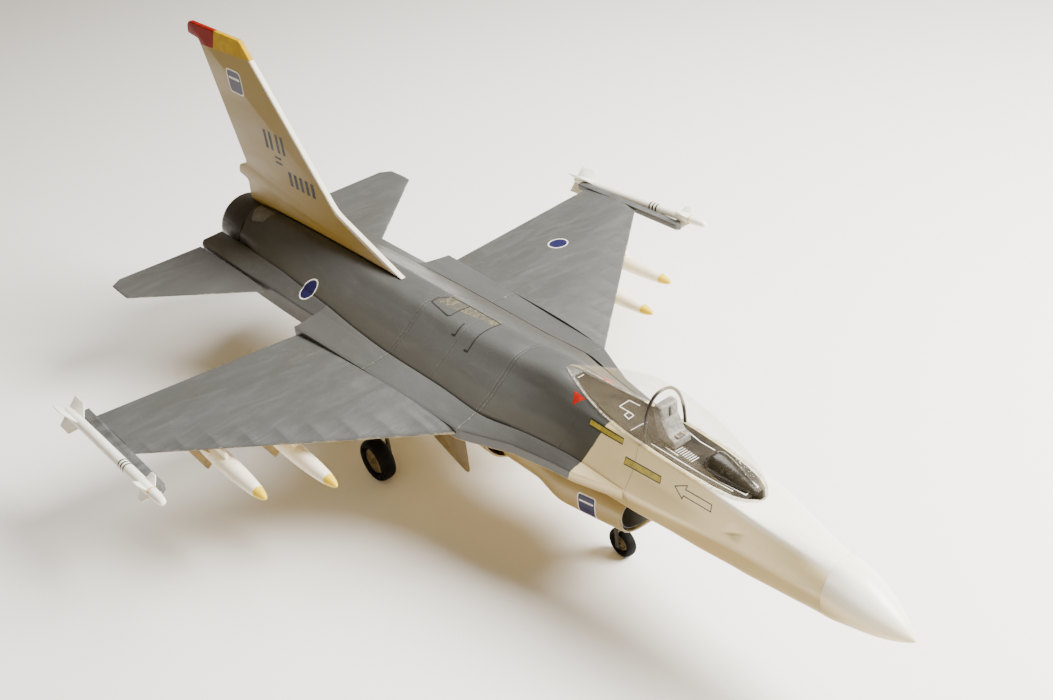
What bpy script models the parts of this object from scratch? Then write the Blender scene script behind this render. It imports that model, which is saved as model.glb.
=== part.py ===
"""Radio-controlled model jet: a 1:10 single-engine fighter with an electric ducted fan.

The nose points along -Y, the pilot's left is +X and the wheels stand on Z = 0. Sizes below are in
millimetres, and every mesh is made in metres.
"""

import math

import bmesh
import bpy
from mathutils import Euler, Matrix, Vector

MM = 0.001
GAP = 0.3

# Stations along the fuselage.
NOSE_TIP_Y = -726.5
NOSE_TIP_Z = 165.0
RADOME_Y = -629.5
FORWARD_JOINT_Y = -115.0
REAR_JOINT_Y = 93.5
TAIL_END_Y = 598.5
NOZZLE_END_Y = 676.0
SKIN = 2.5

# Wing.
WING_Z = 188.0
WING_ROOT_FRONT = (129.0, -112.0)
WING_ROOT_BACK = (143.5, 260.0)
WING_TIP_X = 450.5
WING_TIP_FRONT_Y = 167.0
WING_TIP_BACK_Y = 290.0
WING_ROOT_THICKNESS = 0.056
WING_TIP_THICKNESS = 0.070
WING_SKIN = 1.2
RIB_PITCH = 35.0
RIB_THICKNESS = 2.0
SPAR_CHORD = 0.28
SPAR_WIDTH = 5.0
SPAR_TONGUE = 22.0

# Wing-tip missiles.
RAIL_FRONT_Y = 89.0
MISSILE_X = 472.0
MISSILE_RADIUS = 7.6
MISSILE_NOSE_Y = 25.0
MISSILE_NOSE_Z = 199.5
MISSILE_TILT = 2.6

# Tailplanes.
TAILPLANE_Z = 186.0
TAILPLANE_PIVOT_Y = 538.0
TAILPLANE_ROOT_X = 110.0
PIVOT_ROD_RADIUS = 1.5
PIVOT_ROD_INNER_X = 57.0
PIVOT_ROD_OUTER_X = 190.0
CONTROL_ARM = 14.0
SERVO_SHAFT_Y = 410.0
CONTROL_ARM_X = 58.0

# Landing gear.
MAIN_WHEEL = (135.0, 106.5, 33.0)
MAIN_TYRE_RADIUS = 33.0
MAIN_TYRE_WIDTH = 25.0
MAIN_HUB_RADIUS = 21.0
MAIN_LEG_X = 114.0
MAIN_DOOR_X = 110.0
NOSE_WHEEL = (0.0, -274.0, 21.5)
NOSE_TYRE_RADIUS = 21.5
NOSE_TYRE_WIDTH = 15.0
NOSE_HUB_RADIUS = 12.5
STEERING_Z = 91.0
AXLE_RADIUS = 2.0
RUNNING_GAP = 0.35

# Ducted fan.
FAN_Y = 150.0
FAN_Z = 180.0
DUCT_RADIUS = 44.0
DUCT_WALL = 1.5
ROTOR_RADIUS = 42.0
FAN_BLADES = 8
STATOR_VANES = 5

# Each station: y, top centre z, then the shoulder crease, the middle of the side facet, the side's
# top and bottom as (x, z), then the belly z.
STATIONS = (
    (-629.5, 216.0, (15.9, 212.2), (27.6, 202.5), (34.1, 188.9), (34.5, 174.9), 146.0),
    (-576.5, 228.0, (25.0, 223.0), (34.0, 200.0), (38.0, 184.0), (35.5, 167.0), 142.0),
    (-511.5, 237.0, (33.0, 236.5), (38.5, 200.0), (41.0, 183.0), (38.0, 161.0), 138.0),
    (-466.5, 241.0, (34.0, 240.5), (41.0, 207.0), (47.0, 187.0), (43.0, 164.0), 138.0),
    (-416.5, 245.0, (35.0, 243.5), (44.0, 212.0), (57.0, 192.0), (50.0, 169.0), 141.0),
    (-356.5, 248.5, (35.5, 246.0), (47.0, 215.0), (63.0, 194.0), (60.0, 172.0), 148.0),
    (-286.5, 251.5, (35.5, 244.5), (50.0, 219.0), (66.0, 199.0), (66.0, 176.0), 151.0),
    (-251.5, 256.0, (35.5, 243.5), (50.0, 220.0), (71.0, 203.0), (71.0, 176.0), 151.0),
    (-196.5, 265.5, (36.0, 243.0), (56.0, 221.0), (79.0, 204.0), (79.0, 174.0), 151.0),
    (-115.0, 257.0, (38.0, 241.0), (68.0, 219.0), (94.0, 204.0), (94.0, 172.0), 151.0),
    (-114.9, 257.0, (38.0, 241.0), (68.0, 219.0), (94.0, 204.0), (94.0, 172.0), 100.0),
    (-26.5, 253.0, (38.0, 238.5), (66.0, 219.0), (91.0, 203.5), (91.0, 172.0), 99.0),
    (93.5, 252.0, (38.0, 238.0), (66.0, 218.5), (92.0, 203.0), (92.0, 170.0), 99.0),
    (173.5, 252.0, (38.0, 238.0), (66.0, 219.0), (90.0, 204.5), (90.0, 168.0), 102.0),
    (270.5, 251.5, (38.0, 238.0), (62.0, 222.0), (84.0, 207.5), (84.0, 163.0), 108.0),
    (373.5, 250.0, (38.0, 236.0), (58.0, 222.0), (78.0, 209.0), (78.0, 160.0), 113.0),
    (473.5, 247.5, (38.0, 232.5), (56.0, 218.0), (71.0, 203.0), (71.0, 162.0), 117.0),
    (598.5, 240.0, (38.6, 226.0), (54.4, 205.4), (60.0, 185.0), (60.0, 175.0), 120.0),
)

# Outer edge of the strake and the wing root fairing: y, x, top z.
STRAKE_EDGE = (
    (-356.5, 64.5, 193.0),
    (-286.5, 83.0, 193.0),
    (-251.5, 87.0, 193.0),
    (-189.5, 98.5, 193.5),
    (-112.0, 128.7, 195.0),
    (93.5, 136.7, 198.0),
    (270.5, 143.6, 197.0),
)
STRAKE_BOTTOM_Z = 178.0
STRAKE_SHELF_Z = 203.0

# Outer edge of the tail boom: y, x, top z, bottom z.
BOOM_EDGE = (
    (271.0, 106.0, 196.0, 164.0),
    (373.5, 106.5, 195.0, 163.0),
    (473.5, 107.5, 194.0, 165.0),
    (598.5, 108.0, 193.0, 172.0),
    (640.0, 108.0, 192.0, 177.0),
    (654.0, 99.0, 191.5, 179.0),
)

# The canopy's outline on the deck: y, half width, deck z, glass top z.
CANOPY = (
    (-522.0, 5.0, 236.2, 240.0),
    (-509.0, 18.0, 237.3, 253.0),
    (-494.5, 25.0, 238.6, 267.0),
    (-470.0, 29.5, 240.8, 283.0),
    (-426.5, 32.5, 244.2, 302.5),
    (-386.5, 33.0, 246.8, 312.5),
    (-346.5, 32.0, 248.9, 314.0),
    (-300.0, 27.5, 251.0, 304.0),
    (-251.5, 19.0, 256.0, 288.0),
    (-215.0, 10.0, 262.0, 275.0),
    (-198.0, 4.0, 265.3, 268.5),
)
SILL = 3.0
CANOPY_LIFT = 0.9
GLASS = 0.9
HOOP_Y = -368.0
HOOP_RADIUS = 1.1


def clear_scene():
    for item in list(bpy.data.objects):
        bpy.data.objects.remove(item, do_unlink=True)


clear_scene()
PARTS = bpy.data.collections.new("rc_jet_plane")
HELPERS = bpy.data.collections.new("cutters")
bpy.context.scene.collection.children.link(PARTS)
bpy.context.scene.collection.children.link(HELPERS)


def finish(name, colour, roughness, metallic=0.0, alpha=1.0):
    """A Principled material."""
    material = bpy.data.materials.new(name)
    material.use_nodes = True
    shader = material.node_tree.nodes["Principled BSDF"]
    shader.inputs["Base Color"].default_value = (*colour, 1.0)
    shader.inputs["Roughness"].default_value = roughness
    shader.inputs["Metallic"].default_value = metallic
    shader.inputs["Alpha"].default_value = alpha
    return material


CREAM = finish("cream_paint", (0.72, 0.62, 0.42), 0.45)
GREY = finish("grey_paint", (0.20, 0.20, 0.19), 0.55)
BLACK = finish("black_paint", (0.02, 0.018, 0.015), 0.35)
WHITE = finish("white_paint", (0.82, 0.78, 0.68), 0.4)
TAN = finish("tan_paint", (0.45, 0.36, 0.20), 0.5)
DECK = finish("deck_print", (0.09, 0.08, 0.07), 0.6)
SEAT = finish("seat_grey", (0.24, 0.24, 0.24), 0.6)
GLAZING = finish("clear_canopy", (0.95, 0.94, 0.90), 0.05, 0.0, 0.25)
RUBBER = finish("tyre_rubber", (0.015, 0.014, 0.013), 0.7)
HUB = finish("hub_plastic", (0.42, 0.34, 0.20), 0.5)
STEEL = finish("spring_steel", (0.12, 0.12, 0.12), 0.35, 1.0)
BALSA = finish("balsa", (0.62, 0.45, 0.26), 0.8)
PLY = finish("plywood", (0.50, 0.34, 0.17), 0.75)
DUCT = finish("duct_plastic", (0.05, 0.05, 0.05), 0.5)
ALLOY = finish("motor_alloy", (0.55, 0.55, 0.57), 0.3, 1.0)
SERVO = finish("servo_plastic", (0.03, 0.04, 0.08), 0.4)
NYLON = finish("white_nylon", (0.80, 0.80, 0.78), 0.5)
WRAP = finish("battery_wrap", (0.04, 0.07, 0.25), 0.4)
BOARD = finish("circuit_case", (0.06, 0.06, 0.07), 0.45)


def place(name, data, material, origin=(0, 0, 0), rotation=(0, 0, 0), helper=False):
    """Link a mesh or curve as an object with its origin at a point in millimetres."""
    item = bpy.data.objects.new(name, data)
    item.location = Vector(origin) * MM
    item.rotation_euler = Euler(rotation)
    data.materials.append(material)
    if helper:
        HELPERS.objects.link(item)
        item.hide_render = True
        item.display_type = "WIRE"
    else:
        PARTS.objects.link(item)
    return item


def smooth(mesh, degrees=35.0):
    mesh.shade_smooth()
    mesh.set_sharp_from_angle(angle=math.radians(degrees))


def mesh_of(name, points, faces, origin=(0, 0, 0)):
    """A mesh from points in millimetres, relative to the origin, with its faces pointing out."""
    mesh = bpy.data.meshes.new(name)
    mesh.from_pydata([(Vector(p) - Vector(origin)) * MM for p in points], [], faces)
    tidy = bmesh.new()
    tidy.from_mesh(mesh)
    bmesh.ops.recalc_face_normals(tidy, faces=tidy.faces)
    tidy.to_mesh(mesh)
    tidy.free()
    smooth(mesh)
    return mesh


def bands(count, rings, first):
    """Quads between neighbouring rings of a loft."""
    faces = []
    for ring in range(rings - 1):
        for step in range(count):
            after = (step + 1) % count
            low = first + ring * count
            faces.append((low + step, low + after, low + count + after, low + count + step))
    return faces


def loft(name, rings, material, origin=(0, 0, 0), helper=False):
    """A closed solid through rings of points."""
    count = len(rings[0])
    points = [p for ring in rings for p in ring]
    faces = bands(count, len(rings), 0)
    faces.append(tuple(range(count)))
    faces.append(tuple(range(len(points) - count, len(points))))
    return place(name, mesh_of(name, points, faces, origin), material, origin, helper=helper)


def shell(name, outer, inner, material, closed_end=False, origin=(0, 0, 0)):
    """A wall between two lofts, open at the first ring and, unless closed, at the last."""
    count = len(outer[0])
    points = [p for ring in outer for p in ring] + [p for ring in inner for p in ring]
    start = len(outer) * count
    faces = bands(count, len(outer), 0) + bands(count, len(inner), start)
    last_outer = start - count
    last_inner = len(points) - count
    if closed_end:
        faces.append(tuple(range(last_outer, start)))
        faces.append(tuple(range(last_inner, len(points))))
    for step in range(count):
        after = (step + 1) % count
        faces.append((step, after, start + after, start + step))
        if not closed_end:
            faces.append((last_outer + step, last_outer + after, last_inner + after, last_inner + step))
    return place(name, mesh_of(name, points, faces, origin), material, origin)


def inset(ring, amount):
    """A ring of (x, z) corners moved in by an amount, each along its mitre."""
    turn = sum(a[0] * b[1] - b[0] * a[1] for a, b in zip(ring, ring[1:] + ring[:1]))
    sign = 1.0 if turn > 0 else -1.0
    moved = []
    for index, corner in enumerate(ring):
        before = Vector(corner) - Vector(ring[index - 1])
        after = Vector(ring[(index + 1) % len(ring)]) - Vector(corner)
        first = Vector((-before.y, before.x)).normalized() * sign
        second = Vector((-after.y, after.x)).normalized() * sign
        mitre = (first + second) / max(1.0 + first.dot(second), 0.35)
        moved.append(tuple(Vector(corner) + mitre * amount))
    return moved


def blend(rows, y):
    """The row of a station table at any y, by straight lines between stations."""
    if y <= rows[0][0]:
        return rows[0]
    for low, high in zip(rows, rows[1:]):
        if y <= high[0]:
            share = (y - low[0]) / (high[0] - low[0])
            return tuple(mix(a, b, share) for a, b in zip(low, high))
    return rows[-1]


def mix(low, high, share):
    if isinstance(low, tuple):
        return tuple(mix(a, b, share) for a, b in zip(low, high))
    return low + (high - low) * share


def section(row, amount=0.0):
    """One fuselage ring as (x, z), moved in by an amount."""
    _, top, crease, facet, side, foot, belly = row
    half = [(0.0, top), (0.6 * crease[0], crease[1] + 0.8 * (top - crease[1])), crease, facet, side, foot]
    for degrees in (22.5, 45.0, 67.5):
        across = math.cos(math.radians(degrees)) ** 0.78
        down = math.sin(math.radians(degrees)) ** 0.78
        half.append((foot[0] * across, foot[1] + (belly - foot[1]) * down))
    half.append((0.0, belly))
    ring = half + [(-x, z) for x, z in reversed(half[1:-1])]
    return inset(ring, amount) if amount else ring


def at(ring, y):
    return [(x, y, z) for x, z in ring]


def fuselage_piece(name, start, end, material):
    """A hollow length of fuselage between two joints."""
    inside = [row for row in STATIONS if start < row[0] < end]
    rows = [(start,) + blend(STATIONS, start)[1:]] + inside + [(end,) + blend(STATIONS, end)[1:]]
    outer = [at(section(row), row[0]) for row in rows]
    inner = [at(section(row, SKIN), row[0]) for row in rows]
    return shell(name, outer, inner, material)


def baked(item, name=None):
    """Turn an object and its modifiers into a plain mesh object."""
    bpy.context.view_layer.update()
    graph = bpy.context.evaluated_depsgraph_get()
    mesh = bpy.data.meshes.new_from_object(item.evaluated_get(graph))
    weld = bmesh.new()
    weld.from_mesh(mesh)
    bmesh.ops.remove_doubles(weld, verts=weld.verts, dist=0.00002)
    bmesh.ops.recalc_face_normals(weld, faces=weld.faces)
    weld.to_mesh(mesh)
    weld.free()
    smooth(mesh)
    material = item.active_material
    mesh.materials.clear()
    mesh.materials.append(material)
    fresh = bpy.data.objects.new(name or item.name, mesh)
    fresh.matrix_world = item.matrix_world
    for collection in item.users_collection:
        collection.objects.link(fresh)
    fresh.hide_render = item.hide_render
    fresh.display_type = item.display_type
    final_name = name or item.name
    bpy.data.objects.remove(item, do_unlink=True)
    fresh.name = final_name
    return fresh


def boolean(item, helper, operation):
    modifier = item.modifiers.new(operation.lower(), "BOOLEAN")
    modifier.operation = operation
    modifier.object = helper
    modifier.solver = "EXACT"


def joined(item, helpers):
    """Union of solids that overlap, as one plain mesh."""
    for helper in helpers:
        boolean(item, helper, "UNION")
    fresh = baked(item)
    for helper in helpers:
        bpy.data.objects.remove(helper, do_unlink=True)
    return fresh


def cut(item, cutter):
    boolean(item, cutter, "DIFFERENCE")


def turned(name, profile, material, origin, axis, steps=24, closed=False, helper=False):
    """A profile of (radius, height) swept round an axis through the origin."""
    mesh = bpy.data.meshes.new(name)
    edges = [(i, i + 1) for i in range(len(profile) - 1)]
    if closed:
        edges.append((len(profile) - 1, 0))
    mesh.from_pydata([(r * MM, 0.0, h * MM) for r, h in profile], edges, [])
    turns = {"X": (0, math.pi / 2, 0), "Y": (-math.pi / 2, 0, 0), "Z": (0, 0, 0)}
    item = place(name, mesh, material, origin, turns[axis], helper)
    screw = item.modifiers.new("turn", "SCREW")
    screw.steps = steps
    screw.render_steps = steps
    screw.use_merge_vertices = True
    screw.merge_threshold = 0.00005
    return baked(item)


def cylinder(name, radius, start, end, material, axis, steps=16, helper=False):
    """A round bar between two points that share an axis direction."""
    length = (Vector(end) - Vector(start)).length
    profile = [(0.0, length), (radius, length), (radius, 0.0), (0.0, 0.0)]
    return turned(name, profile, material, start, axis, steps, helper=helper)


def block(name, low, high, material, helper=False, bevel=0.0):
    """A box between two corners, with its origin at the middle."""
    size = Vector(high) - Vector(low)
    middle = (Vector(high) + Vector(low)) / 2
    mesh = bpy.data.meshes.new(name)
    box = bmesh.new()
    bmesh.ops.create_cube(box, size=MM)
    bmesh.ops.scale(box, vec=size, verts=box.verts)
    box.to_mesh(mesh)
    box.free()
    item = place(name, mesh, material, middle, helper=helper)
    if bevel:
        edge = item.modifiers.new("edges", "BEVEL")
        edge.width = bevel * MM
        edge.segments = 2
    return item


PLANES = {"XY": (0, 0, 0), "YZ": (math.pi / 2, 0, math.pi / 2), "XZ": (math.pi / 2, 0, 0)}


def plate(name, outline, thickness, plane, origin, material, helper=False, solid=False):
    """A flat outline given thickness about its plane, in the plane's own two directions."""
    curve = bpy.data.curves.new(name, "CURVE")
    curve.dimensions = "2D"
    curve.fill_mode = "BOTH"
    curve.extrude = thickness * MM / 2
    spline = curve.splines.new("POLY")
    spline.points.add(len(outline) - 1)
    for point, (along, up) in zip(spline.points, outline):
        point.co = (along * MM, up * MM, 0.0, 1.0)
    spline.use_cyclic_u = True
    item = place(name, curve, material, origin, PLANES[plane], helper)
    return baked(item) if solid else item


def wire(name, points, radius, material, origin=(0, 0, 0), sides=2):
    """A round bar or tube along points, with closed ends."""
    curve = bpy.data.curves.new(name, "CURVE")
    curve.dimensions = "3D"
    curve.bevel_depth = radius * MM
    curve.bevel_resolution = sides
    curve.use_fill_caps = True
    spline = curve.splines.new("POLY")
    spline.points.add(len(points) - 1)
    for point, place_mm in zip(spline.points, points):
        point.co = (*((Vector(place_mm) - Vector(origin)) * MM), 1.0)
    return place(name, curve, material, origin)


def nose_cone():
    """The radome: the first fuselage section shrinking to a rounded tip."""
    row = STATIONS[0]
    centre = (row[1] + row[6]) / 2
    length = RADOME_Y - NOSE_TIP_Y

    def ring(share, amount):
        shrink = (1.0 - share**1.75) ** 0.82
        middle = mix(centre, NOSE_TIP_Z, share**1.3)
        scaled = [(x * shrink, (z - centre) * shrink + middle) for x, z in section(row, amount)]
        return at(scaled, RADOME_Y - share * length)

    shares = (0.0, 0.15, 0.32, 0.5, 0.66, 0.8, 0.9, 0.965, 0.993)
    outer = [ring(share, 0.0) for share in shares]
    inner = [ring(share, SKIN) for share in shares[:6]]
    shell("nose_cone", outer, inner, CREAM, closed_end=True)


def canopy_outline(margin):
    """The canopy's plan outline, moved in by a margin."""
    rows = [row for row in CANOPY if row[1] > margin + 1.0]
    sides = [(row[1] - margin, row[0]) for row in rows]
    half = [(sides[0][0] / 2, rows[0][0])] + sides + [(sides[-1][0] / 2, rows[-1][0])]
    return half + [(-x, y) for x, y in reversed(half)]


def fuselage():
    """Three hollow lengths: the first open under the canopy, the last bored for the tail pivots."""
    forward = fuselage_piece("forward_fuselage", RADOME_Y + GAP, FORWARD_JOINT_Y - GAP / 2, CREAM)
    outline = canopy_outline(SILL)
    opening = plate("cockpit_cutter", outline, 90.0, "XY", (0, 0, 270.0), DECK, helper=True, solid=True)
    cut(forward, opening)
    fuselage_piece("centre_fuselage", FORWARD_JOINT_Y + GAP / 2, REAR_JOINT_Y - GAP / 2, GREY)
    rear = fuselage_piece("rear_fuselage", REAR_JOINT_Y + GAP / 2, TAIL_END_Y, GREY)
    start = (-130.0, TAILPLANE_PIVOT_Y, TAILPLANE_Z)
    end = (130.0, TAILPLANE_PIVOT_Y, TAILPLANE_Z)
    bore = cylinder("pivot_bore", PIVOT_ROD_RADIUS + GAP, start, end, STEEL, "X", helper=True)
    cut(rear, bore)
    return bore


def superellipse(half_width, low, high, points, power):
    """A rounded ring between two heights, listed from its top."""
    middle = (low + high) / 2
    ring = []
    for step in range(points):
        angle = 2 * math.pi * step / points
        across = math.copysign(abs(math.sin(angle)) ** power, math.sin(angle))
        up = math.copysign(abs(math.cos(angle)) ** power, math.cos(angle))
        ring.append((half_width * across, middle + (high - low) / 2 * up))
    return ring


# Intake fairing: y, half width, bottom z, top z.
INTAKE = (
    (-331.5, 49.0, 90.0, 146.0),
    (-300.0, 53.0, 87.0, 147.5),
    (-256.0, 60.0, 86.0, 150.4),
    (-225.0, 64.0, 87.0, 150.4),
    (-200.0, 62.0, 93.0, 150.4),
    (-180.0, 60.5, 99.0, 150.4),
    (-115.3, 62.0, 101.5, 150.4),
)

# Inner duct from the intake to the fan: y, half width, bottom z, top z.
INLET = (
    (-329.0, 45.6, 93.6, 142.6),
    (-290.0, 45.0, 115.0, 142.6),
    (-250.0, 45.0, 119.0, 146.6),
    (-200.0, 48.0, 114.0, 146.8),
    (-112.0, 50.0, 111.0, 147.0),
    (-60.0, 48.0, 114.0, 178.0),
    (30.0, 46.0, 128.0, 212.0),
    (FAN_Y - 32.0, DUCT_RADIUS + DUCT_WALL, FAN_Z - DUCT_RADIUS - DUCT_WALL, FAN_Z + DUCT_RADIUS + DUCT_WALL),
)


def intake():
    """The fairing under the nose and the duct that runs back to the fan."""
    outer = [at(superellipse(w, low, high, 20, 0.7), y) for y, w, low, high in INTAKE]
    inner = [
        at(superellipse(w - SKIN, low + SKIN, high - SKIN, 20, 0.7), y) for y, w, low, high in INTAKE
    ]
    fairing = shell("intake_fairing", outer, inner, CREAM)
    x, y, _ = NOSE_WHEEL
    cut(fairing, cylinder("strut_bore", 3.4, (x, y, 75), (x, y, 95), STEEL, "Z", helper=True))
    powers = [mix(0.75, 1.0, index / (len(INLET) - 1)) for index in range(len(INLET))]
    rows = [(y, w, low, high, power) for (y, w, low, high), power in zip(INLET, powers)]
    outer = [at(superellipse(w, low, high, 20, p), y) for y, w, low, high, p in rows]
    inner = [
        at(superellipse(w - DUCT_WALL, low + DUCT_WALL, high - DUCT_WALL, 20, p), y)
        for y, w, low, high, p in rows
    ]
    shell("inlet_duct", outer, inner, DUCT)


def fan_unit():
    """Housing with stator vanes, motor, rotor, thrust tube and nozzle, all on one axis."""
    front = FAN_Y - 31.5
    outside = DUCT_RADIUS + DUCT_WALL
    housing = turned(
        "fan_housing",
        [(outside, 62.0), (outside, 0.0), (DUCT_RADIUS, 0.0), (DUCT_RADIUS, 62.0)],
        DUCT,
        (0, front, FAN_Z),
        "Y",
        steps=32,
        closed=True,
    )
    can = turned(
        "motor_can",
        [(15.5, 60.0), (15.5, 27.0), (5.0, 27.0), (5.0, 29.0), (14.0, 29.0), (14.0, 60.0)],
        DUCT,
        (0, front, FAN_Z),
        "Y",
        closed=True,
        helper=True,
    )
    vanes = []
    for index in range(STATOR_VANES):
        vane = block("vane", (-0.9, 32.0 + front, 14.6), (0.9, 56.0 + front, DUCT_RADIUS + 0.6), DUCT, True)
        angle = 2 * math.pi * index / STATOR_VANES
        radius = (14.6 + DUCT_RADIUS + 0.6) / 2
        across, up = radius * math.sin(angle), radius * math.cos(angle)
        vane.location = Vector((across, front + 44.0, FAN_Z + up)) * MM
        vane.rotation_euler = Euler((0, angle, 0))
        vanes.append(vane)
    joined(housing, [can] + vanes)
    motor = cylinder("fan_motor", 13.6, (0, front + 29.4, FAN_Z), (0, front + 57, FAN_Z), ALLOY, "Y", 24)
    shaft_start = (0, front + 25.0, FAN_Z)
    shaft = cylinder("motor_shaft", 2.0, shaft_start, (0, front + 31, FAN_Z), ALLOY, "Y", helper=True)
    joined(motor, [shaft])
    hub = turned(
        "fan_rotor",
        [(0.0, 24.6), (15.5, 24.6), (15.5, 6.0), (12.0, -4.0), (6.0, -11.0), (0.0, -13.0)],
        DUCT,
        (0, front, FAN_Z),
        "Y",
    )
    blades = []
    for index in range(FAN_BLADES):
        blade = block("blade", (-8.5, -0.8, 14.4), (8.5, 0.8, ROTOR_RADIUS), DUCT, True)
        angle = 2 * math.pi * index / FAN_BLADES
        radius = (14.4 + ROTOR_RADIUS) / 2
        across, up = radius * math.sin(angle), radius * math.cos(angle)
        blade.location = Vector((across, front + 15.0, FAN_Z + up)) * MM
        blade.rotation_mode = "ZYX"
        blade.rotation_euler = Euler((0, angle, math.radians(38)), "ZYX")
        blades.append(blade)
    joined(hub, blades)
    tube_front = front + 62.0 + GAP
    tube_end = TAIL_END_Y - 4.0
    turned(
        "thrust_tube",
        [
            (outside, tube_end - tube_front),
            (outside, 0.0),
            (DUCT_RADIUS, 0.0),
            (DUCT_RADIUS, tube_end - tube_front),
        ],
        DUCT,
        (0, tube_front, FAN_Z),
        "Y",
        steps=28,
        closed=True,
    )
    length = NOZZLE_END_Y - TAIL_END_Y - GAP
    turned(
        "exhaust_nozzle",
        [
            (50.5, length),
            (53.0, length),
            (57.5, length * 0.6),
            (59.6, length * 0.25),
            (60.0, 0.0),
            (46.5, 0.0),
            (46.5, 8.0),
            (50.0, length * 0.5),
        ],
        BLACK,
        (0, TAIL_END_Y + GAP, FAN_Z),
        "Y",
        steps=40,
        closed=True,
    )


def fin():
    """The vertical tail, with its foot along the spine."""
    foot = [(y, blend(STATIONS, y)[1] + GAP) for y in (176.0, 270.5, 373.5, 473.5, 598.5)]
    outline = foot + [
        (632.0, 241.5),
        (632.0, 253.0),
        (628.0, 277.0),
        (657.0, 282.0),
        (651.0, 298.0),
        (618.0, 310.0),
        (691.0, 509.0),
        (726.5, 512.0),
        (723.0, 526.0),
        (714.0, 534.0),
        (543.0, 535.0),
        (340.0, 308.0),
    ]
    plate("tail_fin", outline, 8.4, "YZ", (0, 0, 0), WHITE)


def airfoil(front, back, thickness, z, inset_by=0.0, first=0.0, last=1.0, edge=0.8):
    """Points round a symmetrical wing section as (y, z), from the front over the top."""
    chord = back - front
    shares = [first + (last - first) * s for s in (0.0, 0.015, 0.06, 0.14, 0.27, 0.42, 0.6, 0.8, 1.0)]

    def half(c):
        shape = 0.2969 * math.sqrt(c) - 0.126 * c - 0.3516 * c**2 + 0.2843 * c**3 - 0.1015 * c**4
        return max(5 * thickness * chord * shape + edge * min(c * 4, 1.0) - inset_by, 0.12)

    top = [(front + chord * c, z + half(c)) for c in shares]
    bottom = [(y, 2 * z - up) for y, up in reversed(top)]
    top[0] = (top[0][0], z)
    return top + bottom[:-1]


def wing_root_x(y):
    front_x, front_y = WING_ROOT_FRONT
    back_x, back_y = WING_ROOT_BACK
    return front_x + (back_x - front_x) * (y - front_y) / (back_y - front_y)


def wing_edges(x):
    """Leading and trailing edge y at a distance from the centreline."""
    front_share = (x - WING_ROOT_FRONT[0]) / (WING_TIP_X - WING_ROOT_FRONT[0])
    back_share = (x - WING_ROOT_BACK[0]) / (WING_TIP_X - WING_ROOT_BACK[0])
    front = mix(WING_ROOT_FRONT[1], WING_TIP_FRONT_Y, front_share)
    back = mix(WING_ROOT_BACK[1], WING_TIP_BACK_Y, back_share)
    return front, back


def wing_section(x, inset_by=0.0, first=0.0, last=1.0):
    share = (x - WING_ROOT_FRONT[0]) / (WING_TIP_X - WING_ROOT_FRONT[0])
    thickness = mix(WING_ROOT_THICKNESS, WING_TIP_THICKNESS, share)
    front, back = wing_edges(x)
    return airfoil(front, back, thickness, WING_Z, inset_by, first, last)


def wing(side, label):
    """A covered skin, open at the root, over a frame of ribs on a spar."""

    def ring(x, inset_by=0.0, first=0.0, last=1.0):
        return [(side * x, y, z) for y, z in wing_section(x, inset_by, first, last)]

    def root(inset_by=0.0, first=0.0, last=1.0):
        points = wing_section(WING_ROOT_BACK[0], inset_by, first, last)
        front, back = wing_edges(WING_ROOT_BACK[0])
        full_front = WING_ROOT_FRONT[1]
        stretch = (back - full_front) / (back - front)
        ring_points = []
        for y, z in points:
            moved = back - (back - y) * stretch
            ring_points.append((side * (wing_root_x(moved) + GAP), moved, z))
        return ring_points

    outer = [root(), ring(300.0), ring(WING_TIP_X)]
    trimmed = (WING_SKIN, 0.02, 0.9)
    inner = [root(*trimmed), ring(300.0, *trimmed), ring(WING_TIP_X - 5.0, *trimmed)]
    shell(label + "_wing", outer, inner, GREY, closed_end=True)

    def spar_ring(x, height_cut):
        front, back = wing_edges(x)
        middle = front + (back - front) * SPAR_CHORD
        share = (x - WING_ROOT_FRONT[0]) / (WING_TIP_X - WING_ROOT_FRONT[0])
        thickness = mix(WING_ROOT_THICKNESS, WING_TIP_THICKNESS, share) * (back - front)
        half = thickness * 0.5 * 0.99 + 0.8 - WING_SKIN - height_cut
        wide = SPAR_WIDTH / 2
        corners = ((-wide, -half), (wide, -half), (wide, half), (-wide, half))
        return [(side * x, middle + y, WING_Z + z) for y, z in corners]

    inner_x = WING_ROOT_BACK[0] - 4.0
    frame = loft(label + "_wing_frame", [spar_ring(inner_x, 0.9), spar_ring(440.0, 0.9)], BALSA)
    middle = spar_ring(inner_x, 0.9)
    centre_y = (middle[0][1] + middle[1][1]) / 2
    tongue_x = sorted((side * (inner_x - SPAR_TONGUE), side * (inner_x + 12.0)))
    tongue = block(
        "spar_tongue",
        (tongue_x[0], centre_y - 2.0, WING_Z - 4.0),
        (tongue_x[1], centre_y + 2.0, WING_Z + 4.0),
        BALSA,
        helper=True,
    )
    ribs = [tongue]
    x = WING_ROOT_BACK[0] + 6.0
    while x < WING_TIP_X - 12.0:
        low = ring(x, WING_SKIN + 0.5, 0.035, 0.87)
        high = ring(x + RIB_THICKNESS, WING_SKIN + 0.5, 0.035, 0.87)
        ribs.append(loft("rib", [low, high], BALSA, helper=True))
        x += RIB_PITCH
    joined(frame, ribs)
    return tongue_x, centre_y


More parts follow.
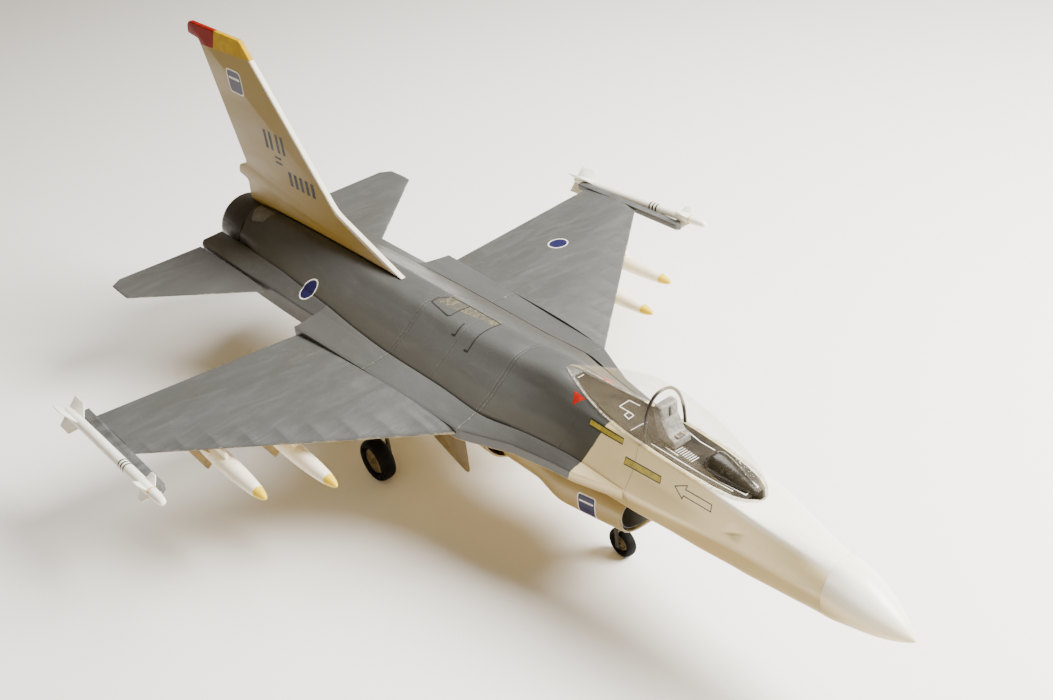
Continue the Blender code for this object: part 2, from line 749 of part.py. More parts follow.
def strake(side, label, tongue_x, tongue_y):
    """The flat shelf from the cockpit back past the wing root, with a pocket for the wing's tongue."""
    stations = {row[0] for row in STATIONS if STRAKE_EDGE[0][0] < row[0] < STRAKE_EDGE[-1][0]}
    rows = sorted({row[0] for row in STRAKE_EDGE} | stations)
    rings = []
    for y in rows:
        y = min(y, 270.2)
        _, outer_x, outer_top = blend(STRAKE_EDGE, y)
        body = blend(STATIONS, y)
        inner_x = body[4][0] + GAP
        inner_top = body[4][1]
        shelf_x = inner_x + max(0.2, 14.0 * (y - REAR_JOINT_Y) / 177.0)
        shelf_top = STRAKE_SHELF_Z if y > REAR_JOINT_Y else inner_top - 0.05
        rings.append(
            [
                (side * inner_x, y, inner_top),
                (side * shelf_x, y, shelf_top),
                (side * outer_x, y, outer_top),
                (side * outer_x, y, STRAKE_BOTTOM_Z),
                (side * inner_x, y, STRAKE_BOTTOM_Z),
            ]
        )
    item = loft(label + "_strake", rings, GREY)
    pocket_end = min(abs(x) for x in tongue_x) - GAP
    low_x, high_x = sorted((side * pocket_end, side * (pocket_end + 50.0)))
    low = (low_x, tongue_y - 2.0 - GAP, WING_Z - 4.0 - GAP)
    high = (high_x, tongue_y + 2.0 + GAP, WING_Z + 4.0 + GAP)
    cut(item, block("tongue_pocket", low, high, BALSA, helper=True))


def tail_boom(side, label, bore):
    """The shelf beside the jet pipe that carries a tailplane's pivot."""
    rings = []
    for y, outer_x, top, bottom in BOOM_EDGE:
        body = blend(STATIONS, y)
        inner_x = body[4][0] + GAP if y <= TAIL_END_Y else 62.5
        if y <= 473.5:
            inner_top = min(body[4][1], 207.0)
        else:
            inner_top = mix(203.0, 193.5, min((y - 473.5) / 125.0, 1.0))
        rings.append(
            [
                (side * inner_x, y, inner_top),
                (side * outer_x, y, top),
                (side * outer_x, y, bottom),
                (side * inner_x, y, bottom),
            ]
        )
    item = loft(label + "_tail_boom", rings, GREY)
    cut(item, bore)


def tailplane(side, label):
    """An all-moving tail surface on a pivot rod, with its servo, arm and pushrod."""
    pivot = (side * TAILPLANE_ROOT_X, TAILPLANE_PIVOT_Y, TAILPLANE_Z)
    rings = []
    for x, front, back, thickness in (
        (TAILPLANE_ROOT_X, 418.0, 644.0, 0.030),
        (258.0, 559.0, 646.0, 0.045),
        (275.5, 575.0, 633.0, 0.05),
    ):
        points = airfoil(front, back, thickness, TAILPLANE_Z, edge=0.9)
        rings.append([(side * x, y, z) for y, z in points])
    surface = loft(label + "_tailplane", rings, GREY, origin=pivot)
    inner = side * PIVOT_ROD_INNER_X
    outer = side * PIVOT_ROD_OUTER_X
    low, high = sorted((inner, outer))
    socket_low, socket_high = sorted((side * 100.0, outer + side * GAP))
    socket = cylinder(
        label + "_rod_socket",
        PIVOT_ROD_RADIUS + GAP,
        (socket_low, TAILPLANE_PIVOT_Y, TAILPLANE_Z),
        (socket_high, TAILPLANE_PIVOT_Y, TAILPLANE_Z),
        STEEL,
        "X",
        12,
        helper=True,
    )
    cut(surface, socket)
    rod = cylinder(
        label + "_pivot_rod",
        PIVOT_ROD_RADIUS,
        (low, TAILPLANE_PIVOT_Y, TAILPLANE_Z),
        (high, TAILPLANE_PIVOT_Y, TAILPLANE_Z),
        STEEL,
        "X",
        12,
    )
    horn_origin = (side * (CONTROL_ARM_X + 1.0), TAILPLANE_PIVOT_Y, TAILPLANE_Z)
    horn = lever("horn", horn_origin, STEEL, helper=True)
    joined(rod, [horn])
    arm_origin = (side * (CONTROL_ARM_X + 1.0), SERVO_SHAFT_Y, TAILPLANE_Z)
    lever(label + "_servo_arm", arm_origin, NYLON)
    body_low, body_high = sorted((side * (CONTROL_ARM_X + 2.0 + GAP), side * (CONTROL_ARM_X + 13.5)))
    block(
        label + "_tail_servo",
        (body_low, SERVO_SHAFT_Y - 6.0, TAILPLANE_Z - 11.0),
        (body_high, SERVO_SHAFT_Y + 17.0, TAILPLANE_Z + 11.0),
        SERVO,
        bevel=0.6,
    )
    rod_x = side * (CONTROL_ARM_X - GAP - 0.9)
    rod_z = TAILPLANE_Z - CONTROL_ARM
    start = (rod_x, SERVO_SHAFT_Y - 2.5, rod_z)
    end = (rod_x, TAILPLANE_PIVOT_Y + 2.5, rod_z)
    wire(label + "_pushrod", [start, end], 0.9, STEEL, start)


def lever(name, origin, material, helper=False):
    """A flat arm in the YZ plane that hangs from its boss to its hole."""
    root_radius = 4.0
    end_radius = 2.2
    outline = []
    for degrees in range(180, 361, 30):
        angle = math.radians(degrees)
        outline.append((root_radius * math.cos(angle), root_radius * math.sin(angle)))
    for degrees in range(0, 181, 45):
        angle = math.radians(degrees)
        outline.append((end_radius * math.cos(angle), CONTROL_ARM + end_radius * math.sin(angle)))
    outline = [(along, -up) for along, up in reversed(outline)]
    return plate(name, outline, 2.0, "YZ", origin, material, helper, solid=True)


def fin_pair(front, back, tip_front, tip_back, reach, tilt, origin, material):
    """Two opposite fins as one flat plate through the body's axis."""
    half = [(0.0, front), (reach, tip_front), (reach, tip_back), (0.0, back)]
    outline = half + [(-reach, tip_back), (-reach, tip_front)]
    pair = plate("fin_pair", outline, 1.5, "XY", origin, material, helper=True, solid=True)
    pair.rotation_euler = Euler((0, math.radians(tilt), 0))
    return pair


def missiles():
    """A wing-tip rail and a missile on each side, with the missile's nose a little up."""
    for side, label in ((1, "left"), (-1, "right")):
        near = side * (WING_TIP_X + GAP)
        far = side * (MISSILE_X - MISSILE_RADIUS - 0.5)
        outline = [(near, 94), (near, 311), (far, 311), (far, 98), ((near + far) / 2, RAIL_FRONT_Y)]
        plate(label + "_tip_rail", outline, 10.0, "XY", (0, 0, WING_Z), GREY)
        origin = (side * MISSILE_X, MISSILE_NOSE_Y, MISSILE_NOSE_Z)
        profile = [(0.0, 316.0), (5.6, 316.0), (6.6, 310.0), (MISSILE_RADIUS, 296.0)]
        profile += [(MISSILE_RADIUS, 42.0), (6.6, 34.0), (5.4, 16.0), (4.2, 5.0), (2.2, 1.0), (0.0, 0.0)]
        body = turned(label + "_missile", profile, WHITE, origin, "Y", steps=14)
        fins = []
        for tilt in (45, -45):
            fins.append(fin_pair(30.0, 62.0, 44.0, 56.0, 19.0, tilt, origin, WHITE))
            fins.append(fin_pair(262.0, 316.0, 284.0, 316.0, 24.0, tilt, origin, WHITE))
        missile = joined(body, fins)
        tip = Matrix.Rotation(math.radians(-MISSILE_TILT), 4, "X")
        turn = missile.rotation_euler.to_matrix().to_4x4()
        missile.matrix_world = Matrix.Translation(missile.location) @ tip @ turn


def stores():
    """Two bombs under each wing, each with its pylon."""
    for side, label in ((1, "left"), (-1, "right")):
        for name, x, nose_y, z in (("outer", 358.0, -8.5, 157.0), ("inner", 279.0, -51.5, 155.0)):
            origin = (side * x, nose_y, z)
            profile = [(0.0, 236.0), (4.0, 236.0), (6.5, 214.0), (11.0, 172.0), (13.0, 120.0)]
            profile += [(12.6, 86.0), (10.8, 50.0), (8.6, 25.0), (5.6, 9.0), (2.6, 2.0), (0.0, 0.0)]
            body = turned(name + "_" + label + "_store", profile, WHITE, origin, "Y", steps=14)
            added = [fin_pair(160.0, 232.0, 176.0, 232.0, 21.0, tilt, origin, TAN) for tilt in (45, -45)]
            low = (side * x - 3.0, nose_y + 72.0, z + 8.0)
            high = (side * x + 3.0, nose_y + 186.0, wing_bottom(x, nose_y + 70.0, nose_y + 190.0) - GAP)
            added.append(block("pylon", low, high, TAN, helper=True))
            joined(body, added)


def wing_bottom(x, start_y, end_y):
    """Lowest point of the wing's underside over a stretch, for what hangs below it."""
    points = [p for p in wing_section(x) if start_y <= p[0] <= end_y]
    return min(z for _, z in points)


def wheel(name, centre, tyre_radius, tyre_width, hub_radius, steps):
    """A tyre on a hub that turns on an axle along X."""
    half = tyre_width / 2
    bulge = (tyre_radius - hub_radius) / 2
    middle = hub_radius + bulge
    profile = []
    for step in range(10):
        angle = 2 * math.pi * step / 10
        across = math.copysign(abs(math.sin(angle)) ** 0.8, math.sin(angle)) * half
        out = math.cos(angle) * bulge
        profile.append((middle + out, across))
    turned(name + "_tyre", profile, RUBBER, centre, "X", steps, closed=True)
    bore = AXLE_RADIUS + RUNNING_GAP
    rim = hub_radius - GAP
    web = half * 0.35
    hub_profile = [
        (rim, half * 0.25),
        (rim, -half * 0.25),
        (rim - 2.5, -half * 0.62),
        (rim * 0.5, -web),
        (bore + 2.5, -half * 0.7),
        (bore, -half * 0.7),
        (bore, half * 0.7),
        (bore + 2.5, half * 0.7),
        (rim * 0.5, web),
        (rim - 2.5, half * 0.62),
    ]
    turned(name + "_hub", hub_profile, HUB, centre, "X", steps, closed=True)


def main_gear(side, label):
    x, y, z = MAIN_WHEEL
    wheel(label + "_main", (side * x, y, z), MAIN_TYRE_RADIUS, MAIN_TYRE_WIDTH, MAIN_HUB_RADIUS, 24)
    top = STRAKE_BOTTOM_Z - GAP
    leg_x = side * MAIN_LEG_X
    leg = cylinder(label + "_main_leg", 3.2, (leg_x, y, z - 4.0), (leg_x, y, top), STEEL, "Z", 12)
    low, high = sorted((leg_x, side * (x + MAIN_TYRE_WIDTH / 2 + 2.0)))
    axle = cylinder("axle", AXLE_RADIUS, (low, y, z), (high, y, z), STEEL, "X", 16, helper=True)
    foot = block("leg_plate", (leg_x - 9, y - 11, top - 2.5), (leg_x + 9, y + 11, top), STEEL, helper=True)
    joined(leg, [axle, foot])
    outline = [(-101, 177.6), (-101, 112), (-99, 106), (-93, 104), (-20, 129), (7, 153), (20, 177.6)]
    plate(label + "_gear_door", outline, 2.0, "YZ", (side * MAIN_DOOR_X, 0, 0), TAN)


def nose_gear():
    """Fork and strut that steer about a vertical axis, with the servo above."""
    x, y, z = NOSE_WHEEL
    wheel("nose", (x, y, z), NOSE_TYRE_RADIUS, NOSE_TYRE_WIDTH, NOSE_HUB_RADIUS, 20)
    crown = z + NOSE_TYRE_RADIUS + 4.0
    strut = cylinder("nose_strut", 2.6, (x, y, crown), (x, y, STEERING_Z - GAP), STEEL, "Z", 12)
    half = NOSE_TYRE_WIDTH / 2 + 1.2
    reach = half + 2.0
    pieces = [block("fork_crown", (-reach, y - 4, crown - 1.5), (reach, y + 4, crown + 2), STEEL, True)]
    for side in (1, -1):
        low, high = sorted((side * half, side * reach))
        pieces.append(block("fork_leg", (low, y - 3.2, z - 4), (high, y + 3.2, crown + 1), STEEL, True))
    ends = (-half - 1.0, y, z), (half + 1.0, y, z)
    pieces.append(cylinder("axle", AXLE_RADIUS, *ends, STEEL, "X", 12, helper=True))
    joined(strut, pieces)
    block("steering_servo", (-4.5, y - 7, STEERING_Z), (4.5, y + 15, STEERING_Z + 20), SERVO, bevel=0.6)
    outline = [(-17, 85.4), (-20, 72), (-12, 57), (-9, 57), (-6, 69), (22, 83), (26, 85.4)]
    plate("nose_gear_door", outline, 1.6, "YZ", (-13.0, y, 0), TAN)


def deck_z(y):
    return blend(CANOPY, y)[2]


def skin_z(y, x):
    """Height of the fuselage's upper surface at a distance from the centreline."""
    ring = section((y,) + blend(STATIONS, y)[1:])[:5]
    for (low_x, low_z), (high_x, high_z) in zip(ring, ring[1:]):
        if x <= high_x:
            return mix(low_z, high_z, (x - low_x) / (high_x - low_x))
    return ring[-1][1]


def arch(half, base, top, count):
    """A squared-off half ellipse as (x, z), from one foot to the other."""
    points = []
    for angle in steps_to_pi(count):
        across = math.copysign(abs(math.cos(angle)) ** 0.85, math.cos(angle))
        points.append((half * across, base + (top - base) * math.sin(angle) ** 0.85))
    return points


def cockpit():
    """Canopy, hoop, deck, seat and coaming, which lift off together."""
    arcs = []
    for y, half, _, top in CANOPY:
        arcs.append(at(arch(half, skin_z(y, half) + CANOPY_LIFT, top, 12), y))
    points = [p for ring in arcs for p in ring]
    faces = []
    for row in range(len(arcs) - 1):
        for step in range(12):
            low = row * 13 + step
            faces.append((low, low + 1, low + 14, low + 13))
    glass = place("canopy_glass", mesh_of("canopy_glass", points, faces), GLAZING)
    wall = glass.modifiers.new("wall", "SOLIDIFY")
    wall.thickness = GLASS * MM
    wall.offset = -1.0

    deck_rings = []
    for y, half, deck, _ in CANOPY[1:-2]:
        wide = half - SILL - GAP
        deck_rings.append([(-wide, y, deck - 2), (wide, y, deck - 2), (wide, y, deck), (-wide, y, deck)])
    loft("cockpit_deck", deck_rings, DECK)

    _, half, deck, top = blend(CANOPY, HOOP_Y)
    inside = GLASS + HOOP_RADIUS + 0.8
    hoop = [(x, HOOP_Y, z) for x, z in arch(half - inside, deck + 1.2, top - inside, 16)]
    wire("canopy_hoop", hoop, HOOP_RADIUS, BLACK)

    front, back = -411.0, -376.0
    low, high = deck_z(front) + GAP, deck_z(back) + GAP
    side = [(front, low), (back, high), (-366, 280), (-374, 283), (-381, 267), (-386, 258), (-410, 256)]
    seat = plate("ejection_seat", side, 19.0, "YZ", (0, 0, 0), SEAT, solid=True)
    head = block("headrest", (-7.0, -377.0, 274.0), (7.0, -364.5, 294.0), SEAT, helper=True)
    joined(seat, [head])

    shroud = []
    for y, radius in ((-512, 3.5), (-497, 8.5), (-470, 14.5), (-452, 17.0), (-445, 15.0), (-441, 9.0)):
        shroud.append([(x, y, z + deck_z(y) + GAP) for x, z in arch(radius, 0.0, radius * 1.1, 8)])
    loft("instrument_coaming", shroud, DECK)


def steps_to_pi(count):
    return [math.pi * step / count for step in range(count + 1)]


def equipment():
    """Battery, speed controller and receiver inside the nose, and the bulkhead at the wing."""
    block("battery_pack", (-21, -500, 154), (21, -375, 196), WRAP, bevel=2.0)
    block("speed_controller", (-18, -330, 158), (18, -262, 174), BOARD, bevel=1.0)
    block("receiver", (-14, -240, 158), (14, -196, 172), BOARD, bevel=1.0)
    y = 60.0
    ring = section((y,) + blend(STATIONS, y)[1:], SKIN + GAP)
    former = plate("wing_bulkhead", [(x, z) for x, z in ring], 4.0, "XZ", (0, y, 0), PLY, solid=True)
    cut(former, duct_cutter(y))


def duct_cutter(y):
    start = (0, y - 10.0, FAN_Z - 6.0)
    return cylinder("duct_hole", 52.0, start, (0, y + 10.0, FAN_Z - 6.0), PLY, "Y", 32, helper=True)


nose_cone()
pivot_bore = fuselage()
intake()
fan_unit()
fin()
for wing_side, wing_label in ((1, "left"), (-1, "right")):
    tongue_span, tongue_middle = wing(wing_side, wing_label)
    strake(wing_side, wing_label, tongue_span, tongue_middle)
    tail_boom(wing_side, wing_label, pivot_bore)
    tailplane(wing_side, wing_label)
    main_gear(wing_side, wing_label)
missiles()
stores()
nose_gear()
cockpit()
equipment()
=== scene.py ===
"""Radio-controlled model jet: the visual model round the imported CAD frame.

The nose points along -Y, the pilot's left is +X and the wheels stand on Z = 0. Tables are in
millimetres, and every mesh is made in metres.
"""

import math

import bmesh
import bpy
from mathutils import Matrix, Vector, noise
from mathutils.bvhtree import BVHTree


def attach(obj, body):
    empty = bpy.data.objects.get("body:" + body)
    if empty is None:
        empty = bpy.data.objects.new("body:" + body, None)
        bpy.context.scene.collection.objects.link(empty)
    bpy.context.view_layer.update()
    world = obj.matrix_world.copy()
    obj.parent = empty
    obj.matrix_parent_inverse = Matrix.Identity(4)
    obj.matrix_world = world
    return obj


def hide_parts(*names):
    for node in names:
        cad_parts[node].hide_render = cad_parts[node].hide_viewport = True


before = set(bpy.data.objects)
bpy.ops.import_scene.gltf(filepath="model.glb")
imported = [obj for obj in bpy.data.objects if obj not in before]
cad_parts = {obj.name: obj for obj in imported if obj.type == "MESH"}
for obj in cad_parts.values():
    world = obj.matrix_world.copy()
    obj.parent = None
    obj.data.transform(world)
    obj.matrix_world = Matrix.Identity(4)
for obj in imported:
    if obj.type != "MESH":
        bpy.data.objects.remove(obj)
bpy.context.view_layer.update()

MM = 0.001


def quality(full):
    """The number for a full build, returned as it is."""
    return full


def link(name, data):
    """A new object of some data, in the scene."""
    item = bpy.data.objects.new(name, data)
    bpy.context.scene.collection.objects.link(item)
    return item


# ---------------------------------------------------------------- camera and lights

CAMERA_PLACE = (-0.8201, -1.2586, 1.1528)
CAMERA_RIGHT = Vector((0.76697463, -0.63420913, -0.097615))
CAMERA_DOWN = Vector((-0.4123395, -0.37056011, -0.83226278))
CAMERA_FORWARD = Vector((0.49165643, 0.67857496, -0.54571968))
CAMERA_LENS = 43.725
CAMERA_SHIFT = (-0.0087, 0.0103)
SENSOR_WIDTH = 36.0
FAR_CLIP = 50.0
FLOOR_REACH = 14.0

# Name, place, aim, size, power and colour.
LIGHTS = (
    ("key", (1.45, -1.8, 2.2), (0.05, -0.1, 0.15), 1.7, 440.0, (1.0, 0.97, 0.92)),
    ("fill", (-2.6, -2.4, 1.4), (0, 0, 0.2), 2.4, 18.0, (1.0, 0.74, 0.42)),
    ("top", (1.1, 0.5, 2.3), (0.2, 0.1, 0.2), 1.8, 78.0, (1.0, 0.99, 0.96)),
)
SKY_COLOUR = (1.0, 0.80, 0.52, 1.0)
SKY_STRENGTH = 0.26


def make_camera():
    data = bpy.data.cameras.new("camera")
    data.lens = CAMERA_LENS
    data.sensor_width = SENSOR_WIDTH
    data.shift_x, data.shift_y = CAMERA_SHIFT
    data.clip_end = FAR_CLIP
    camera = link("camera", data)
    turn = Matrix((CAMERA_RIGHT, -CAMERA_DOWN, -CAMERA_FORWARD)).transposed()
    camera.matrix_world = Matrix.Translation(CAMERA_PLACE) @ turn.to_4x4()
    bpy.context.scene.camera = camera


def area_light(name, place, target, size, power, colour):
    data = bpy.data.lights.new(name, "AREA")
    data.shape = "DISK"
    data.size = size
    data.energy = power
    data.color = colour
    light = link(name, data)
    light.location = place
    light.rotation_euler = (Vector(target) - Vector(place)).to_track_quat("-Z", "Y").to_euler()


def make_studio():
    for light in LIGHTS:
        area_light(*light)
    world = bpy.data.worlds.new("studio")
    world.use_nodes = True
    sky = world.node_tree.nodes["Background"]
    sky.inputs["Color"].default_value = SKY_COLOUR
    sky.inputs["Strength"].default_value = SKY_STRENGTH
    bpy.context.scene.world = world
    floor = bpy.data.meshes.new("floor")
    far = FLOOR_REACH
    corners = [(-far, -far, 0), (far, -far, 0), (far, far, 0), (-far, far, 0)]
    floor.from_pydata(corners, [], [(0, 1, 2, 3)])
    ground = link("floor", floor)
    paint = Paint("floor_paper")
    paint.colour((0.93, 0.92, 0.90))
    paint.set("Roughness", 0.9)
    floor.materials.append(paint.material)


# ---------------------------------------------------------------- places used by several pieces

RADOME_Y = -629.5
FORWARD_JOINT_Y = -115.0
REAR_JOINT_Y = 93.5
TAIL_END_Y = 598.5
JOINT_GAP = 0.15
MOUTH_Y = -331.5
DENT = (-510.8, 204.0)  # y, z
TAIL_PIVOT = (538.0, 186.0)  # y, z
NOSE_WHEEL_Y = -274.0
NOSE_WHEEL_RADIUS = 21.5
MAIN_WHEEL = (135.0, 106.5, 33.0)  # x, y, radius
WING_Z = 188.0
RIB_PITCH = 35.0
RIB_START = 150.5


# ---------------------------------------------------------------- materials


class Paint:
    """The node graph of one material, with its coordinates in millimetres."""

    def __init__(self, name):
        self.material = bpy.data.materials.new(name)
        self.material.use_nodes = True
        self.tree = self.material.node_tree
        self.shader = self.tree.nodes["Principled BSDF"]
        self.coords = self.add("ShaderNodeTexCoord").outputs["Object"]
        split = self.add("ShaderNodeSeparateXYZ")
        self.link(self.coords, split.inputs[0])
        self.x, self.y, self.z = (self.times(out, 1000.0) for out in split.outputs)
        self.surface = None

    def add(self, kind, **settings):
        node = self.tree.nodes.new(kind)
        for key, value in settings.items():
            setattr(node, key, value)
        return node

    def link(self, source, socket):
        self.tree.links.new(source, socket)

    def feed(self, value, socket):
        if isinstance(value, (int, float)):
            socket.default_value = value
        elif isinstance(value, tuple):
            socket.default_value = (*value[:3], 1.0) if len(socket.default_value) == 4 else value
        else:
            self.link(value, socket)

    def math(self, operation, first, second=0.0, third=0.0):
        node = self.add("ShaderNodeMath", operation=operation)
        for value, socket in zip((first, second, third), node.inputs):
            self.feed(value, socket)
        return node.outputs[0]

    def times(self, first, second):
        return self.math("MULTIPLY", first, second)

    def plus(self, first, second):
        return self.math("ADD", first, second)

    def minus(self, first, second):
        return self.math("SUBTRACT", first, second)

    def scaled(self, value, factor, offset):
        return self.math("MULTIPLY_ADD", value, factor, offset)

    def absolute(self, value):
        return self.math("ABSOLUTE", value)

    def ramp(self, value, low, high, start=0.0, end=1.0):
        """Smoothly from start to end as the value goes from low to high."""
        node = self.add("ShaderNodeMapRange", interpolation_type="SMOOTHSTEP")
        for item, socket in zip((value, low, high, start, end), node.inputs):
            self.feed(item, socket)
        return node.outputs[0]

    def line(self, value, centre, width, soft=0.35):
        """1 within half a width of the centre, and 0 outside."""
        away = self.absolute(self.minus(value, centre))
        return self.ramp(away, width / 2, width / 2 + soft, 1.0, 0.0)

    def between(self, value, low, high, soft=0.4):
        above = self.ramp(value, low - soft, low + soft)
        return self.times(above, self.ramp(value, high - soft, high + soft, 1.0, 0.0))

    def noise(self, size, detail=3.0, rough=0.55, stretch=(1, 1, 1), warp=0.0, seed=0.0):
        """Noise of a feature size in mm. A stretch over 1 draws it out along that axis."""
        mapping = self.add("ShaderNodeMapping")
        self.link(self.coords, mapping.inputs["Vector"])
        mapping.inputs["Location"].default_value = (seed, seed * 0.7, seed * 1.3)
        mapping.inputs["Scale"].default_value = tuple(1.0 / s for s in stretch)
        node = self.add("ShaderNodeTexNoise")
        self.link(mapping.outputs[0], node.inputs["Vector"])
        node.inputs["Scale"].default_value = 1000.0 / size
        node.inputs["Detail"].default_value = detail
        node.inputs["Roughness"].default_value = rough
        node.inputs["Distortion"].default_value = warp
        return node.outputs["Fac"]

    def mix(self, share, low, high, blend="MIX"):
        node = self.add("ShaderNodeMix", data_type="RGBA", blend_type=blend)
        self.feed(share, node.inputs[0])
        self.feed(low, node.inputs[6])
        self.feed(high, node.inputs[7])
        return node.outputs[2]

    def shade(self, colour, factor):
        """A colour made lighter or darker by a number socket."""
        grey = self.add("ShaderNodeCombineColor")
        for socket in grey.inputs:
            self.feed(factor, socket)
        return self.mix(1.0, colour, grey.outputs[0], "MULTIPLY")

    def colour(self, value):
        self.feed(value, self.shader.inputs["Base Color"])

    def set(self, name, value):
        self.feed(value, self.shader.inputs[name])

    def rough(self, value, low, high):
        """Roughness from low to high as a noise rises."""
        self.set("Roughness", self.ramp(value, 0.3, 0.7, low, high))

    def bump(self, height, distance, strength=1.0):
        """Relief of a height socket from 0 to 1, as deep as a distance in mm. Calls stack."""
        node = self.add("ShaderNodeBump")
        node.inputs["Strength"].default_value = strength
        node.inputs["Distance"].default_value = distance * MM
        self.link(height, node.inputs["Height"])
        if self.surface:
            self.link(self.surface, node.inputs["Normal"])
        self.surface = node.outputs[0]
        self.link(self.surface, self.shader.inputs["Normal"])


GREY = (0.074, 0.076, 0.075)
GREY_DARK = (0.060, 0.061, 0.058)
GREY_LIGHT = (0.112, 0.113, 0.109)
CREAM = (0.79, 0.655, 0.365)
# The next two: cream in painted shade, also used for stains, and cream in painted highlight.
CREAM_SHADE_AND_STAIN = (0.38, 0.270, 0.085)
CREAM_HIGHLIGHT = (0.94, 0.91, 0.82)
CHIP = (0.40, 0.33, 0.22)
SEAM_CHIP = (0.30, 0.285, 0.25)
BLACK = (0.012, 0.012, 0.011)
YELLOW = (0.72, 0.50, 0.0)


def grey_layers(p, streak=(1, 5, 1)):
    """Brushed satin grey with thin patches, streaks and dust: its colour and its roughness."""
    broad = p.noise(85, 3, 0.55, streak, 0.6, 3.1)
    strokes = p.noise(16, 5, 0.62, streak, 1.2, 7.7)
    grain = p.noise(1.6, 2, 0.6)
    base = p.mix(p.ramp(broad, 0.32, 0.70), GREY_DARK, GREY)
    base = p.mix(p.ramp(strokes, 0.48, 0.80, 0.0, 0.30), base, GREY_LIGHT)
    base = p.shade(base, p.ramp(grain, 0.2, 0.8, 0.90, 1.08))
    dust = p.times(p.ramp(p.noise(34, 4, 0.7, (1, 2, 1), 0.8, 1.9), 0.58, 0.78), 0.10)
    base = p.mix(dust, base, (0.18, 0.17, 0.145))
    p.set("Roughness", p.ramp(strokes, 0.3, 0.75, 0.38, 0.58))
    return base


def film_relief(p, streak=(1, 4, 1)):
    """Wrinkles and brush marks in a glued-on covering."""
    folds = p.noise(70, 2, 0.45, (1, 1.6, 1), 1.2, 12.0)
    ridges = p.minus(1.0, p.absolute(p.scaled(folds, 2.0, -1.0)))
    p.bump(p.math("POWER", ridges, 9.0), 0.22, 0.4)
    p.bump(p.noise(45, 2, 0.5, (1, 2, 1), 0.5, 4.0), 0.8, 0.5)
    p.bump(p.noise(2.2, 3, 0.6, streak), 0.04, 0.5)


def cream_layers(
    p, shade_and_stain_tone=CREAM_SHADE_AND_STAIN, brown=(177.0, 191.0), pale=(203.0, 213.0), slope=0.2, brown_slope=0.0
):
    """Yellowed cream enamel, with a painted highlight on top and painted shade low down.

    Both changes lie between two heights, which rise along Y by their slopes.
    """
    broad = p.noise(70, 3, 0.5, (1, 2.5, 1), 0.5, 8.0)
    aft = p.minus(p.y, RADOME_Y)
    height = p.scaled(broad, 8.0, p.minus(p.z, 4.0))
    height = p.scaled(aft, -brown_slope, height)
    # Painted shade below the brown heights, and a painted highlight above the pale heights.
    base = p.mix(p.ramp(height, *brown), shade_and_stain_tone, CREAM)
    base = p.mix(p.ramp(p.scaled(aft, -slope, p.z), *pale), base, CREAM_HIGHLIGHT)
    stain = p.times(p.ramp(p.noise(22, 5, 0.65, (1, 2, 1), 1.0, 2.2), 0.60, 0.80), 0.30)
    # Real stains in random patches, in the same tone as the painted shade.
    base = p.mix(stain, base, shade_and_stain_tone)
    specks = p.ramp(p.noise(2.6, 2, 0.5, seed=5.0), 0.74, 0.80, 0.0, 0.45)
    base = p.mix(specks, base, (0.30, 0.22, 0.12))
    p.rough(broad, 0.28, 0.42)
    return base


def enamel_relief(p):
    p.bump(p.noise(38, 2, 0.5, (1, 1.6, 1), 0.4, 6.0), 0.8, 0.45)
    p.bump(p.noise(5, 3, 0.6, (1, 1.5, 1), 0.3, 1.0), 0.06, 0.7)


def ragged(p, amount, size=9.0):
    """A number in mm that wanders either side of 0, for hand-painted edges."""
    return p.times(p.minus(p.noise(size, 3, 0.6, seed=9.0), 0.5), amount * 2)


def seam(p, base, value, centre, width, colour, chips=0.5):
    """A joint line with paint broken away in places, and a dent along it."""
    place = p.plus(value, ragged(p, 0.5, 14.0))
    mark = p.line(place, centre, width)
    broken = p.ramp(p.noise(9, 5, 0.75, warp=0.4, seed=3.3), 0.54, 0.66)
    base = p.mix(p.times(mark, 0.35), base, (0.045, 0.044, 0.040))
    p.bump(mark, -0.5, 0.8)
    return p.mix(p.times(p.times(mark, broken), chips), base, colour)


def fuselage_paint(name, seams=(), chips=0.6, cream_below=177.7, side_shade_share=0.45, dent=False):
    """Grey above and cream below, with the cream reaching up in front of the canopy's rear."""
    p = Paint(name)
    grey = grey_layers(p)
    cream = cream_layers(p)
    slope = p.scaled(p.z, -0.33, -221.0)
    front = p.plus(p.minus(p.y, slope), ragged(p, 1.2))
    behind = p.ramp(front, -0.5, 0.5)
    above = p.ramp(p.plus(p.z, ragged(p, 1.0)), cream_below - 0.5, cream_below + 0.5)
    # Painted shade: the grey turns darker and browner on the sides below the shoulder.
    side_shade = p.ramp(p.z, 214.0, 232.0, side_shade_share, 0.0)
    grey = p.mix(side_shade, grey, (0.058, 0.052, 0.038))
    base = p.mix(p.times(behind, above), cream, grey)
    for centre, width in seams:
        base = seam(p, base, p.y, centre, width, SEAM_CHIP, chips)
    # Darker in noisy patches towards the tail end.
    aft_darkening = p.ramp(p.noise(30, 4, 0.6, (1, 3, 1)), 0.3, 0.65, 0.45, 0.95)
    base = p.mix(p.times(p.ramp(p.y, 490.0, 590.0), aft_darkening), base, (0.026, 0.020, 0.012))
    p.colour(base)
    if dent:
        along, up = p.minus(p.y, DENT[0]), p.minus(p.z, DENT[1])
        reach = p.math("SQRT", p.scaled(along, along, p.times(up, up)))
        fold = p.absolute(p.scaled(along, 0.4, up))
        crease = p.times(p.ramp(fold, 0.0, 5.0, 1.0, 0.0), p.ramp(reach, 3.0, 24.0, 1.0, 0.0))
        p.bump(p.plus(p.ramp(reach, 0.0, 13.0, 1.0, 0.0), p.times(crease, 0.5)), -2.2, 0.9)
    film_relief(p)
    return p.material


